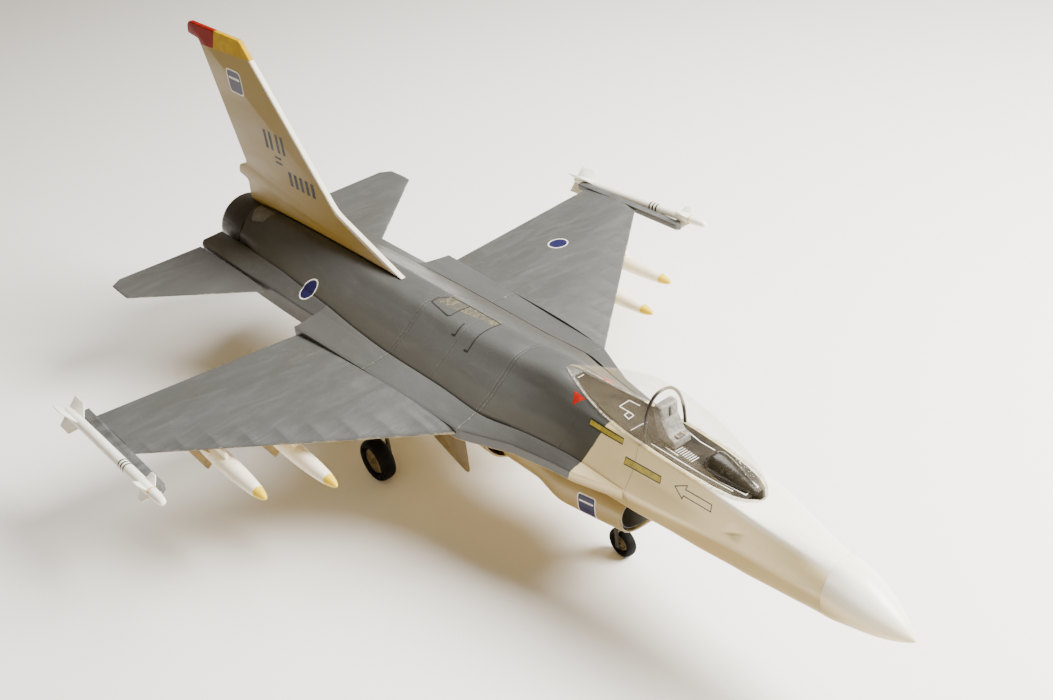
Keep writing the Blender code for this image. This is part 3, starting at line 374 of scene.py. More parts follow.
def covering_paint(name, edge_line, underside, ribs=False):
    """Grey film over a wing: chipped leading edge, cream below, painted highlights along the ribs,
    and ribs and spar showing through.
    """
    p = Paint(name)
    base = grey_layers(p, (5, 1.4, 1))
    out = p.absolute(p.x)
    front = p.scaled(out, edge_line[1], edge_line[0])
    back = p.minus(p.y, front)
    if ribs:
        # Painted highlights along the rib ridges near the leading edge, fading aft.
        phase = p.math("DIVIDE", p.minus(out, RIB_START), RIB_PITCH)
        off = p.absolute(p.minus(phase, p.math("ROUND", phase)))
        rib_highlight = p.ramp(off, 0.008, 0.05, 1.0, 0.0)
        fade = p.ramp(back, 6.0, 70.0, 0.10, 0.0)
        base = p.mix(p.times(rib_highlight, fade), base, (0.18, 0.178, 0.165))
        rub = p.ramp(p.noise(30, 4, 0.7, warp=1.0, seed=6.6), 0.5, 0.75)
        near = p.times(rub, p.ramp(out, 140.0, 230.0, 0.12, 0.0))
        base = p.mix(near, base, (0.24, 0.23, 0.20))
        tension = p.noise(7, 2, 0.4, (9, 1, 1), 1.0, 2.0)
        p.bump(p.times(tension, p.ramp(back, 4.0, 60.0, 1.0, 0.05)), 0.9, 0.8)
    edge = p.ramp(p.plus(back, ragged(p, 2.4, 8.0)), 0.6, 2.0, 1.0, 0.0)
    worn = p.ramp(p.noise(24, 4, 0.7, warp=0.8, seed=5.5), 0.46, 0.66, 0.0, 0.6)
    base = p.mix(p.times(edge, worn), base, CHIP)
    under = p.ramp(p.plus(p.z, ragged(p, 0.8)), underside - 0.8, underside - 0.2, 1.0, 0.0)
    base = p.mix(under, base, (0.56, 0.45, 0.24))
    p.colour(base)
    film_relief(p, (4, 1.3, 1))
    return p.material


def plain_paint(name, colour, variation=0.25, rough=(0.35, 0.55), size=12.0, relief=0.08):
    """One colour with mottling, fine grain and a little relief."""
    p = Paint(name)
    broad = p.noise(size, 4, 0.6, warp=0.6, seed=4.4)
    fine = p.noise(1.3, 3, 0.6)
    base = p.shade(colour, p.ramp(broad, 0.25, 0.75, 1.0 - variation, 1.0 + variation * 0.6))
    base = p.shade(base, p.ramp(fine, 0.2, 0.8, 0.92, 1.06))
    p.colour(base)
    p.rough(broad, *rough)
    p.bump(broad, relief * 4, 0.4)
    p.bump(fine, relief, 0.6)
    return p.material


def nose_paint():
    p = Paint("radome_enamel")
    # Painted shade low on the nose and a painted highlight on its top, both rising towards the rear.
    p.colour(cream_layers(p, CREAM_SHADE_AND_STAIN, (166.0, 190.0), (182.0, 206.0), 0.25, 0.25))
    enamel_relief(p)
    return p.material


def intake_paint():
    p = Paint("intake_enamel")
    # Painted shade: the cream fairing turns to a darker tan low down, as it lies in shade under the
    # nose.
    base = cream_layers(p, (0.32, 0.225, 0.08), (95.0, 250.0), (900.0, 950.0))
    # Painted shade on the lip of the mouth, towards the dark inside.
    inside = p.ramp(p.plus(p.y, ragged(p, 1.5)), MOUTH_Y, MOUTH_Y + 0.9, 0.6, 0.0)
    base = p.mix(inside, base, (0.12, 0.10, 0.06))
    p.colour(base)
    enamel_relief(p)
    return p.material


def duct_paint():
    p = Paint("duct_lining")
    streaks = p.noise(18, 4, 0.6, (1, 5, 1), 0.5)
    # Painted shade: darker further into the duct.
    deep = p.ramp(p.y, -330.0, -170.0, 1.0, 0.3)
    base = p.mix(p.ramp(streaks, 0.35, 0.7), (0.010, 0.009, 0.006), (0.028, 0.024, 0.016))
    p.colour(p.shade(base, deep))
    p.rough(streaks, 0.45, 0.7)
    p.bump(streaks, 0.25, 0.5)
    return p.material


def fin_paint():
    """Cream sheet painted as cream in shade, lighter low down, with a painted highlight along its
    front edge and a two-colour cap.
    """
    p = Paint("fin_enamel")
    # Painted shade: the whole sheet is painted in a dark tan, as cream in shade.
    base = cream_layers(p, (0.33, 0.215, 0.022), (250.0, 2200.0), (900.0, 950.0))
    # Painted light and shade: lighter low on the fin and darker towards its top.
    base = p.shade(base, p.ramp(p.z, 235.0, 400.0, 1.15, 0.82))
    # Painted highlight: the front edge is paled towards the lit cream.
    foot_edge = p.scaled(p.y, 0.34, 192.4)
    leading = p.scaled(p.y, 1.118, -72.1)
    ahead = p.math("MAXIMUM", foot_edge, leading)
    rim = p.ramp(p.minus(p.z, ahead), -7.5, -5.5)
    base = p.mix(p.times(rim, 0.7), base, CREAM_HIGHLIGHT)
    line = p.scaled(p.y, -0.045, 531.5)
    cap = p.ramp(p.minus(p.z, line), -0.4, 0.4)
    aft = p.ramp(p.plus(p.y, p.times(p.minus(p.z, 520.0), 0.55)), 632.0, 633.0)
    shade_noise = p.noise(16, 4, 0.6, warp=0.8, seed=2.0)
    yellow = p.mix(p.ramp(shade_noise, 0.35, 0.7), (0.40, 0.24, 0.001), (0.52, 0.33, 0.002))
    red = p.mix(p.ramp(shade_noise, 0.35, 0.7), (0.17, 0.002, 0.0005), (0.26, 0.004, 0.001))
    base = p.mix(cap, base, p.mix(aft, yellow, red))
    p.colour(base)
    p.set("Specular IOR Level", p.ramp(cap, 0.0, 1.0, 0.35, 0.1))
    enamel_relief(p)
    return p.material


def nozzle_paint():
    p = Paint("nozzle_soot")
    streak = p.noise(20, 4, 0.6, (1, 3, 1), 0.6)
    base = p.mix(p.ramp(streak, 0.35, 0.7), (0.004, 0.003, 0.002), (0.012, 0.009, 0.006))
    brown = p.ramp(p.y, 600.0, 660.0, 0.35, 0.0)
    base = p.mix(p.times(brown, p.ramp(streak, 0.4, 0.6)), base, (0.04, 0.028, 0.014))
    p.colour(base)
    p.rough(streak, 0.34, 0.55)
    p.bump(p.noise(6, 3, 0.6), 0.12, 0.6)
    p.bump(streak, 0.5, 0.4)
    return p.material


def banded_paint(name, bands, base=(0.95, 0.93, 0.85)):
    """White paint with coloured bands, each a start and an end along Y with a colour."""
    p = Paint(name)
    dirt = p.noise(14, 4, 0.65, (1, 2, 1), 0.6, 3.0)
    colour = p.mix(p.ramp(dirt, 0.50, 0.82, 0.0, 0.5), base, (0.66, 0.56, 0.38))
    for low, high, tint in bands:
        wander = p.plus(p.y, ragged(p, 0.35, 5.0))
        colour = p.mix(p.between(wander, low, high, 0.25), colour, tint)
    p.colour(colour)
    p.rough(dirt, 0.28, 0.42)
    p.bump(dirt, 0.2, 0.4)
    p.bump(p.noise(1.5, 2, 0.5), 0.03, 0.6)
    return p.material


def glass_paint():
    """Thin clear sheet: mostly see-through, with milky scuffs and strong edge reflections."""
    p = Paint("canopy_sheet")
    scuff = p.noise(17, 5, 0.7, (1, 3, 1), 1.5, 2.0)
    facing = p.add("ShaderNodeLayerWeight")
    facing.inputs["Blend"].default_value = 0.32
    haze = p.ramp(scuff, 0.58, 0.85, 0.004, 0.05)
    p.set("Alpha", p.math("MINIMUM", p.scaled(facing.outputs["Fresnel"], 0.17, haze), 1.0))
    p.colour((0.66, 0.56, 0.36))
    p.set("Roughness", p.ramp(scuff, 0.4, 0.8, 0.04, 0.16))
    p.set("Specular IOR Level", 0.9)
    p.bump(p.noise(40, 2, 0.4), 0.6, 0.3)
    p.material.use_transparent_shadow = True
    return p.material


def glue_paint():
    p = Paint("dried_glue")
    patch = p.noise(5, 4, 0.7)
    p.colour(p.mix(p.ramp(patch, 0.35, 0.7), (0.50, 0.43, 0.30), (0.88, 0.85, 0.76)))
    p.set("Alpha", p.ramp(patch, 0.34, 0.66, 0.10, 0.62))
    p.set("Roughness", 0.35)
    p.bump(p.noise(2.5, 3, 0.6), 0.4, 0.8)
    return p.material


def deck_paint():
    p = Paint("deck_card")
    worn = p.noise(16, 5, 0.65, (1, 2, 1), 0.8)
    base = p.mix(p.ramp(worn, 0.35, 0.72), (0.016, 0.013, 0.009), (0.044, 0.037, 0.026))
    p.colour(p.shade(base, p.ramp(p.noise(1.4, 2, 0.5), 0.2, 0.8, 0.88, 1.08)))
    p.set("Roughness", 0.8)
    p.set("Specular IOR Level", 0.2)
    p.bump(worn, 0.2, 0.5)
    return p.material


def seat_paint():
    p = Paint("seat_mottle")
    blotch = p.noise(5.5, 5, 0.7, warp=1.2)
    p.colour(p.mix(p.ramp(blotch, 0.36, 0.66), (0.10, 0.093, 0.08), (0.25, 0.24, 0.22)))
    p.rough(blotch, 0.35, 0.6)
    p.bump(blotch, 0.3, 0.6)
    return p.material


def torn_film_paint():
    p = Paint("spine_film")
    torn = p.noise(9, 5, 0.7, warp=1.0)
    p.colour(p.mix(p.ramp(torn, 0.4, 0.7), (0.24, 0.20, 0.10), (0.38, 0.32, 0.17)))
    p.set("Alpha", p.ramp(torn, 0.40, 0.66, 0.0, 0.50))
    p.set("Roughness", 0.3)
    p.bump(torn, 0.15, 0.6)
    return p.material


def rubber_paint():
    p = Paint("tyre_black")
    dust = p.noise(9, 4, 0.65, warp=0.7, seed=1.0)
    p.colour(p.mix(p.ramp(dust, 0.48, 0.80), (0.002, 0.0018, 0.0015), (0.014, 0.012, 0.008)))
    p.rough(dust, 0.5, 0.8)
    p.set("Specular IOR Level", 0.12)
    p.bump(p.noise(1.1, 3, 0.6), 0.05, 0.7)
    return p.material


def wood_paint(name, pale, dark):
    p = Paint(name)
    grain = p.noise(2.2, 5, 0.6, (14, 1, 1), 0.7)
    p.colour(p.mix(p.ramp(grain, 0.35, 0.68), pale, dark))
    p.set("Roughness", 0.75)
    p.bump(grain, 0.08, 0.6)
    return p.material


def metal_paint(name, colour, rough=0.32):
    p = Paint(name)
    drawn = p.noise(0.8, 3, 0.6, (1, 1, 18), 0.0)
    rust = p.noise(7, 5, 0.7, warp=0.6)
    bare = p.shade(colour, p.ramp(drawn, 0.3, 0.7, 0.8, 1.15))
    p.colour(p.mix(p.ramp(rust, 0.6, 0.78, 0.0, 0.6), bare, (0.12, 0.07, 0.035)))
    p.set("Metallic", 0.9)
    p.set("Roughness", p.ramp(rust, 0.4, 0.75, rough, rough + 0.3))
    p.bump(drawn, 0.03, 0.5)
    return p.material


# ---------------------------------------------------------------- mesh helpers

WELD = 2e-6


def clean_mesh(name, points, faces, weld=0.0):
    """A mesh from points in mm, with its faces turned outwards and near points welded."""
    mesh = bpy.data.meshes.new(name)
    mesh.from_pydata([Vector(p) * MM for p in points], [], faces)
    tidy = bmesh.new()
    tidy.from_mesh(mesh)
    if weld:
        bmesh.ops.remove_doubles(tidy, verts=tidy.verts, dist=weld)
    bmesh.ops.recalc_face_normals(tidy, faces=tidy.faces)
    tidy.to_mesh(mesh)
    tidy.free()
    return mesh


def build(name, shape, material, replaces=(), angle=32.0, body="airframe"):
    """A smooth-shaded piece from (points, faces) in mm, riding on a body."""
    mesh = clean_mesh(name, *shape, WELD)
    return piece(name, mesh, material, replaces, angle, body)


def piece(name, mesh, material, replaces=(), angle=32.0, body="airframe"):
    mesh.shade_smooth()
    mesh.set_sharp_from_angle(angle=math.radians(angle))
    mesh.materials.clear()
    mesh.materials.append(material)
    item = link(name, mesh)
    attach(item, body)
    if replaces:
        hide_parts(*replaces)
    return item


def loft_faces(count, rings, first=0, closed=True):
    faces = []
    for ring in range(rings - 1):
        for step in range(count if closed else count - 1):
            low = first + ring * count
            after = (step + 1) % count
            faces.append((low + step, low + after, low + count + after, low + count + step))
    return faces


def tube_mesh(rings, caps=True):
    """Points and faces of a loft through closed rings, with flat ends if asked."""
    count = len(rings[0])
    points = [p for ring in rings for p in ring]
    faces = loft_faces(count, len(rings))
    if caps:
        faces.append(tuple(range(count)))
        faces.append(tuple(range(len(points) - count, len(points))))
    return points, faces


def wall_mesh(outer, inner, closed_end=False):
    """A wall between two lofts, joined at the first ring and at the last or capped there."""
    count = len(outer[0])
    points = [p for ring in outer + inner for p in ring]
    start = len(outer) * count
    faces = loft_faces(count, len(outer)) + loft_faces(count, len(inner), start)
    ends = [(0, start)]
    if closed_end:
        faces.append(tuple(range(start - count, start)))
        faces.append(tuple(range(len(points) - count, len(points))))
    else:
        ends.append((start - count, len(points) - count))
    for low, high in ends:
        for step in range(count):
            after = (step + 1) % count
            faces.append((low + step, low + after, high + after, high + step))
    return points, faces


def flatten(row):
    out = []
    for value in row:
        out.extend(value if isinstance(value, tuple) else (value,))
    return out


def slope_at(table, row, column):
    """The slope of a column at a row, held to 0 where the column turns back."""
    last = len(table) - 1

    def rise(low, high):
        return (table[high][column] - table[low][column]) / (table[high][0] - table[low][0])

    if row <= 0:
        return rise(0, 1)
    if row >= last:
        return rise(last - 1, last)
    before, after = rise(row - 1, row), rise(row, row + 1)
    return 0.0 if before * after <= 0 else 2 * before * after / (before + after)


def curve_rows(rows, ys):
    """A table read at any y along smooth curves that never overshoot its rows."""
    table = [flatten(row) for row in rows]
    found = []
    for y in ys:
        index = max(i for i in range(len(table) - 1) if table[i][0] <= y or i == 0)
        low, high = table[index], table[index + 1]
        span = high[0] - low[0]
        t = min(max((y - low[0]) / span, 0.0), 1.0)
        values = [y]
        t2, t3 = t * t, t * t * t
        for column in range(1, len(low)):
            m = slope_at(table, index, column) * span
            n = slope_at(table, index + 1, column) * span
            start = (2 * t3 - 3 * t2 + 1) * low[column] + (t3 - 2 * t2 + t) * m
            values.append(start + (3 * t2 - 2 * t3) * high[column] + (t3 - t2) * n)
        found.append(values)
    return found


def steps(low, high, pitch):
    count = max(2, round((high - low) / pitch) + 1)
    return [low + (high - low) * i / (count - 1) for i in range(count)]


def rounded(ring, radii, count=3):
    """A ring of corners with each corner turned into a short arc."""
    out = []
    for index, corner in enumerate(ring):
        here = Vector(corner)
        before = Vector(ring[index - 1]) - here
        after = Vector(ring[(index + 1) % len(ring)]) - here
        reach = min(radii[index], 0.45 * before.length, 0.45 * after.length)
        start = here + before.normalized() * reach
        end = here + after.normalized() * reach
        for step in range(count + 1):
            t = step / count
            out.append(tuple(start.lerp(here, t).lerp(here.lerp(end, t), t)))
    return out


def inset(ring, amount):
    turn = sum(a[0] * b[1] - b[0] * a[1] for a, b in zip(ring, ring[1:] + ring[:1]))
    sign = 1.0 if turn > 0 else -1.0
    moved = []
    for index, corner in enumerate(ring):
        before = Vector(corner) - Vector(ring[index - 1])
        after = Vector(ring[(index + 1) % len(ring)]) - Vector(corner)
        first = Vector((-before.y, before.x)).normalized() * sign
        second = Vector((-after.y, after.x)).normalized() * sign
        mitre = (first + second) / max(1.0 + first.dot(second), 0.35)
        moved.append(tuple(Vector(corner) + mitre * amount))
    return moved


def lump(x, y, z, size, amount, seed=0.0):
    """A small hand-made unevenness at a place."""
    return noise.noise(Vector((x / size + seed, y / size, z / size))) * amount


def bent(value, power):
    """A sine or cosine raised to a power, with its sign kept."""
    return math.copysign(abs(value) ** power, value)


def superellipse(half_width, low, high, count, power):
    middle = (low + high) / 2
    ring = []
    for step in range(count):
        angle = 2 * math.pi * step / count
        across, up = bent(math.sin(angle), power), bent(math.cos(angle), power)
        ring.append((half_width * across, middle + (high - low) / 2 * up))
    return ring


def at(ring, y):
    return [(x, y, z) for x, z in ring]


def baked(item, mesh_name):
    """The mesh of an object with its modifiers applied."""
    bpy.context.view_layer.update()
    graph = bpy.context.evaluated_depsgraph_get()
    mesh = bpy.data.meshes.new_from_object(item.evaluated_get(graph))
    mesh.name = mesh_name
    return mesh


def boolean_cut(item, points, faces):
    """Cut a closed shape out of a piece for good."""
    cutter = link("cutter", clean_mesh("cutter", points, faces))
    modifier = item.modifiers.new("cut", "BOOLEAN")
    modifier.operation = "DIFFERENCE"
    modifier.solver = "EXACT"
    modifier.object = cutter
    mesh = baked(item, item.name)
    item.modifiers.remove(modifier)
    item.data = mesh
    bpy.data.objects.remove(cutter, do_unlink=True)


def turned(profile, origin, axis, count, bulge=None):
    """Points and faces of a profile of (radius, height) turned round an axis."""
    points, faces = [], []
    for radius, height in profile:
        for step in range(count):
            angle = 2 * math.pi * step / count
            r = radius + (bulge(angle, radius, height) if bulge else 0.0)
            a, b = r * math.cos(angle), r * math.sin(angle)
            shift = {"X": (height, a, b), "Y": (b, height, a), "Z": (a, b, height)}[axis]
            points.append(tuple(o + s for o, s in zip(origin, shift)))
    faces = loft_faces(count, len(profile))
    return points, faces


def cylinder(radius, low, high, origin, axis, count=20):
    """A closed rod along an axis."""
    points, faces = turned([(radius, low), (radius, high)], origin, axis, count)
    return points, faces + [tuple(range(count)), tuple(range(count, 2 * count))]


def extruded(outline, low, high, plane, origin=(0, 0, 0), bevel=0.0, chop=2):
    """Points and faces of a flat outline given thickness, with its rim rounded."""
    layers = [(low, 0.0), (high, 0.0)]
    if bevel:
        turns = [math.pi / 2 * step / chop for step in range(chop + 1)]
        layers = [(low + bevel * (1 - math.cos(t)), bevel * (1 - math.sin(t))) for t in turns]
        layers += [(high - (height - low), inward) for height, inward in reversed(layers)]
    rings = []
    for height, inward in layers:
        ring = inset(outline, inward) if inward > 1e-6 else outline
        if plane == "YZ":
            rings.append([(origin[0] + height, origin[1] + u, origin[2] + v) for u, v in ring])
        elif plane == "XY":
            rings.append([(origin[0] + u, origin[1] + v, origin[2] + height) for u, v in ring])
        else:
            rings.append([(origin[0] + u, origin[1] + height, origin[2] + v) for u, v in ring])
    return tube_mesh(rings)


def merged(parts):
    """Several (points, faces) as one."""
    points, faces = [], []
    for more_points, more_faces in parts:
        start = len(points)
        points += more_points
        faces += [tuple(i + start for i in face) for face in more_faces]
    return points, faces


def moved(shape, turn=None, shift=(0, 0, 0)):
    points, faces = shape
    turn = turn or Matrix.Identity(3)
    return [tuple(turn @ Vector(p) + Vector(shift)) for p in points], faces


def soft_box(low, high, bevel=1.0):
    outline = [(low[0], low[1]), (high[0], low[1]), (high[0], high[1]), (low[0], high[1])]
    ring = rounded(outline, [bevel * 1.6] * 4)
    return extruded(ring, low[2], high[2], "XY", bevel=bevel)


def swept(path, radius, count=10, wobble=0.0):
    """A round bead along points, closed at its ends."""
    rings = []
    for index, place in enumerate(path):
        here = Vector(place)
        ahead = Vector(path[min(index + 1, len(path) - 1)])
        behind = Vector(path[max(index - 1, 0)])
        along = (ahead - behind).normalized()
        side = along.cross(Vector((0, 0, 1)))
        side = side.normalized() if side.length > 1e-4 else Vector((1, 0, 0))
        up = side.cross(along)
        r = radius * (1.0 + wobble * noise.noise(here / 6.0))
        angles = [2 * math.pi * s / count for s in range(count)]
        rings.append([tuple(here + side * r * math.cos(a) + up * r * math.sin(a)) for a in angles])
    return tube_mesh(rings)


def decal(
    name, shapes, targets, axis, material, lift=0.12, cell=6.0, bridge=False, body="airframe"
):
    """Flat outlines laid along an axis onto the nearest of some pieces, as one thin printed film.

    An outline is a list of (u, v) in mm: (y, z) when laid along X, and (x, y) when laid along Z.
    A bridging decal keeps to the highest of the surfaces close to each of its points.
    """
    bpy.context.view_layer.update()
    graph = bpy.context.evaluated_depsgraph_get()
    trees = [BVHTree.FromObject(target, graph) for target in targets]
    away = Vector({"+X": (1, 0, 0), "-X": (-1, 0, 0), "+Z": (0, 0, 1)}[axis])
    film = bmesh.new()
    for outline in shapes:
        corners = []
        for u, v in outline:
            corners.append(film.verts.new((0, u, v) if axis[1] == "X" else (u, v, 0)))
        film.faces.new(corners)
    bmesh.ops.triangulate(film, faces=film.faces)
    for _ in range(4):
        long = [e for e in film.edges if e.calc_length() > cell]
        if not long:
            break
        bmesh.ops.subdivide_edges(film, edges=long, cuts=1)
        bmesh.ops.triangulate(film, faces=film.faces)
    aside = Vector((1, 0, 0)) if axis[1] == "Z" else Vector((0, 0, 1))
    for vert in film.verts:
        origin = vert.co * MM + away * 0.6
        hits = []
        for shift in (0.0, 0.9, -0.9):
            if hits and not bridge:
                break
            rays = [tree.ray_cast(origin + aside * shift * MM, -away) for tree in trees]
            hits += [hit for hit in rays if hit[0]]
        if not hits:
            raise RuntimeError(f"{name}: an outline runs off its surface at {tuple(vert.co)}")
        hit, normal, _, _ = min(hits, key=lambda found: found[3])
        vert.co = hit + normal * lift * MM
    mesh = bpy.data.meshes.new(name)
    film.to_mesh(mesh)
    film.free()
    return piece(name, mesh, material, (), 60.0, body)


def stroke(path, width, closed=False):
    """Outlines that draw a line along points: one quad a segment, mitred at the corners."""
    places = [Vector(p) for p in path]
    count = len(places)
    sides = []
    for index, here in enumerate(places):
        before = places[index - 1] if closed or index else None
        after = places[(index + 1) % count] if closed or index < count - 1 else None
        first = (here - before).normalized() if before is not None else None
        second = (after - here).normalized() if after is not None else None
        first, second = first or second, second or first
        normals = [Vector((-d.y, d.x)) for d in (first, second)]
        mitre = (normals[0] + normals[1]) / max(1.0 + normals[0].dot(normals[1]), 0.4)
        sides.append((here + mitre * width / 2, here - mitre * width / 2))
    quads = []
    for index in range(count if closed else count - 1):
        a, b = sides[index], sides[(index + 1) % count]
        quads.append([tuple(a[0]), tuple(a[1]), tuple(b[1]), tuple(b[0])])
    return quads


# ---------------------------------------------------------------- shapes of the airframe

STATIONS = (
    (-629.5, 216.0, (15.9, 212.2), (27.6, 202.5), (34.1, 188.9), (34.5, 174.9), 146.0),
    (-576.5, 228.0, (25.0, 223.0), (34.0, 200.0), (38.0, 184.0), (35.5, 167.0), 142.0),
    (-511.5, 237.0, (33.0, 236.5), (38.5, 200.0), (41.0, 183.0), (38.0, 161.0), 138.0),
    (-466.5, 241.0, (34.0, 240.5), (41.0, 207.0), (47.0, 187.0), (43.0, 164.0), 138.0),
    (-416.5, 245.0, (35.0, 243.5), (44.0, 212.0), (57.0, 192.0), (50.0, 169.0), 141.0),
    (-356.5, 248.5, (35.5, 246.0), (47.0, 215.0), (63.0, 194.0), (60.0, 172.0), 148.0),
    (-286.5, 251.5, (35.5, 244.5), (50.0, 219.0), (66.0, 199.0), (66.0, 176.0), 151.0),
    (-251.5, 256.0, (35.5, 243.5), (50.0, 220.0), (71.0, 203.0), (71.0, 176.0), 151.0),
    (-196.5, 265.5, (36.0, 243.0), (56.0, 221.0), (79.0, 204.0), (79.0, 174.0), 151.0),
    (-115.0, 257.0, (38.0, 241.0), (68.0, 219.0), (94.0, 204.0), (94.0, 172.0), 151.0),
    (-114.9, 257.0, (38.0, 241.0), (68.0, 219.0), (94.0, 204.0), (94.0, 172.0), 100.0),
    (-26.5, 253.0, (38.0, 238.5), (66.0, 219.0), (91.0, 203.5), (91.0, 172.0), 99.0),
    (93.5, 252.0, (38.0, 238.0), (66.0, 218.5), (92.0, 203.0), (92.0, 170.0), 99.0),
    (173.5, 252.0, (38.0, 238.0), (66.0, 219.0), (90.0, 204.5), (90.0, 168.0), 102.0),
    (270.5, 251.5, (38.0, 238.0), (62.0, 222.0), (84.0, 207.5), (84.0, 163.0), 108.0),
    (373.5, 250.0, (38.0, 236.0), (58.0, 222.0), (78.0, 209.0), (78.0, 160.0), 113.0),
    (473.5, 247.5, (38.0, 232.5), (56.0, 218.0), (71.0, 203.0), (71.0, 162.0), 117.0),
    (598.5, 240.0, (38.6, 226.0), (54.4, 205.4), (60.0, 185.0), (60.0, 175.0), 120.0),
)
CORNER_RADII = (20.0, 8.0, 3.0, 5.0, 3.5, 8.0, 10.0, 10.0, 10.0, 14.0)
SKIN = 2.5
NOSE_TIP = (-726.4, 165.0)

CANOPY = (
    (-522.0, 5.0, 236.2, 240.0),
    (-509.0, 18.0, 237.3, 253.0),
    (-494.5, 25.0, 238.6, 267.0),
    (-470.0, 29.5, 240.8, 283.0),
    (-426.5, 32.5, 244.2, 302.5),
    (-386.5, 33.0, 246.8, 312.5),
    (-346.5, 32.0, 248.9, 314.0),
    (-300.0, 27.5, 251.0, 304.0),
    (-251.5, 19.0, 256.0, 288.0),
    (-215.0, 10.0, 262.0, 275.0),
    (-198.0, 4.0, 265.3, 268.5),
)
SILL = 3.0

INTAKE = (
    (MOUTH_Y, 49.0, 90.0, 146.0),
    (-300.0, 53.0, 87.0, 147.5),
    (-256.0, 60.0, 86.0, 150.4),
    (-225.0, 64.0, 87.0, 150.4),
    (-200.0, 62.0, 93.0, 150.4),
    (-180.0, 60.5, 99.0, 150.4),
    (-115.3, 62.0, 101.5, 150.4),
)

WING_ROOT_FRONT = (129.0, -112.0)  # x, y
WING_ROOT_BACK = (143.5, 260.0)
WING_TIP_X = 450.5
WING_TIP_FRONT_Y = 167.0
WING_TIP_BACK_Y = 290.0

# Outer edge of the strake and the wing root fairing: y, x, top z.
STRAKE_EDGE = (
    (-356.5, 64.5, 193.0),
    (-286.5, 83.0, 193.0),
    (-251.5, 87.0, 193.0),
    (-189.5, 98.5, 193.5),
    (-112.0, 128.7, 195.0),
    (93.5, 136.7, 198.0),
    (270.5, 143.6, 197.0),
)
STRAKE_SHELF_Z = 203.0

# Outer edge of the tail boom: y, x, top z, bottom z.
BOOM_EDGE = (
    (271.0, 106.0, 196.0, 164.0),
    (373.5, 106.5, 195.0, 163.0),
    (473.5, 107.5, 194.0, 165.0),
    (598.5, 108.0, 193.0, 172.0),
    (640.0, 108.0, 192.0, 177.0),
    (654.0, 99.0, 191.5, 179.0),
)
BOOM_FALL_Y = 473.5

HOOP_Y = -368.0
HATCH = "canopy_hatch"

# Printed lines on the cockpit deck, beside the coaming and on the spine: x, y.
COAMING_EDGE = ((15.6, -454.6), (8.0, -459.0), (5.6, -503.0), (10.0, -503.6), (15.5, -470.0))
COAMING_EDGE += COAMING_EDGE[:1]
DECK_LINES = (
    ((-3.0, -292.0), (13.5, -291.5), (15.6, -308.0)),
    ((-3.0, -292.0), (-2.0, -308.0), (-10.0, -308.0))
    + ((-11.8, -317.6), (-2.6, -316.5), (-2.0, -308.0)),
    ((-25.5, -335.0), (-7.0, -336.0), (0.0, -338.0)),
    ((-25.0, -370.0), (-23.5, -403.0), (-21.0, -450.0), (-16.0, -490.0)),
    ((22.0, -378.0), (18.4, -406.0), (19.5, -429.0)),
    ((-17.5, -386.0), (-17.5, -406.5)),
    ((-5.0, -219.0), (4.5, -219.0)),
    *(tuple((sign * x, y) for x, y in COAMING_EDGE) for sign in (-1, 1)),
)
SPINE_LINES = (
    ((-10.0, 91.8), (2.0, 91.8), (18.5, 81.0), (20.5, 41.0), (19.0, -29.0)),
    ((20.0, -31.0), (-17.0, -31.0), (-42.0, -32.0), (-42.0, -24.0)),
    ((-10.0, 91.8), (-17.0, 44.0), (-14.0, 40.0), (20.0, 40.0)),
    ((-14.0, 8.0), (-34.0, 6.0), (-34.0, 13.0)),
)


def ring_of(values, amount=0.0):
    """One rounded fuselage ring as (x, z) from a flat station row."""
    _, top, ax, az, fx, fz, sx, sz, ux, uz, belly = values
    half = [(0.0, top), (0.6 * ax, az + 0.8 * (top - az)), (ax, az), (fx, fz), (sx, sz), (ux, uz)]
    for degrees in (22.5, 45.0, 67.5):
        across = math.cos(math.radians(degrees)) ** 0.78
        down = math.sin(math.radians(degrees)) ** 0.78
        half.append((ux * across, uz + (belly - uz) * down))
    half.append((0.0, belly))
    ring = half + [(-x, z) for x, z in reversed(half[1:-1])]
    radii = list(CORNER_RADII) + list(reversed(CORNER_RADII[1:-1]))
    if amount:
        ring = inset(ring, amount)
    return rounded(ring, radii)


def unevenness(ring, y, amount=0.45):
    """Push a ring's points in and out a little, as hand-laid sheet lies."""
    out = []
    for x, z in ring:
        radial = Vector((x, z - 195.0)).normalized()
        push = lump(x, y, z, 34.0, amount) + lump(x, y, z, 11.0, amount * 0.3, 5.0)
        out.append((x + radial.x * push, z + radial.y * push))
    return out


def pinch(ring, y):
    """The small puckered dent low on each side of the nose."""
    out = []
    for x, z in ring:
        away = Vector((y - DENT[0], z - DENT[1]))
        reach = away.length_squared
        fold = math.exp(-abs(away.y + away.x * 0.4) / 1.5) * math.exp(-reach / 500.0)
        depth = 1.5 * math.exp(-reach / 90.0) + 0.5 * fold
        out.append((x - math.copysign(depth, x) if abs(x) > 20.0 else x, z))
    return out


def fuselage_shell(label, start, end, seams, chips, dented=False):
    """One length of hollow fuselage between two joints."""
    near = [row for row in STATIONS if start - 0.4 <= row[0] <= end + 0.2]
    outer, inner = [], []
    for row in curve_rows(near, steps(start, end, quality(7.0))):
        ring = unevenness(ring_of(row), row[0])
        outer.append(at(pinch(ring, row[0]) if dented else ring, row[0]))
        inner.append(at(ring_of(row, SKIN), row[0]))
    paint = fuselage_paint(label + "_finish", seams, chips, dent=dented)
    shape = wall_mesh(outer, inner)
    return build(label + "_skin", shape, paint, (label + "_fuselage",))


def canopy_outline(margin):
    rows = [row for row in CANOPY if row[1] > margin + 1.0]
    sides = [(row[1] - margin, row[0]) for row in rows]
    half = [(sides[0][0] / 2, rows[0][0])] + sides + [(sides[-1][0] / 2, rows[-1][0])]
    return half + [(-x, y) for x, y in reversed(half)]


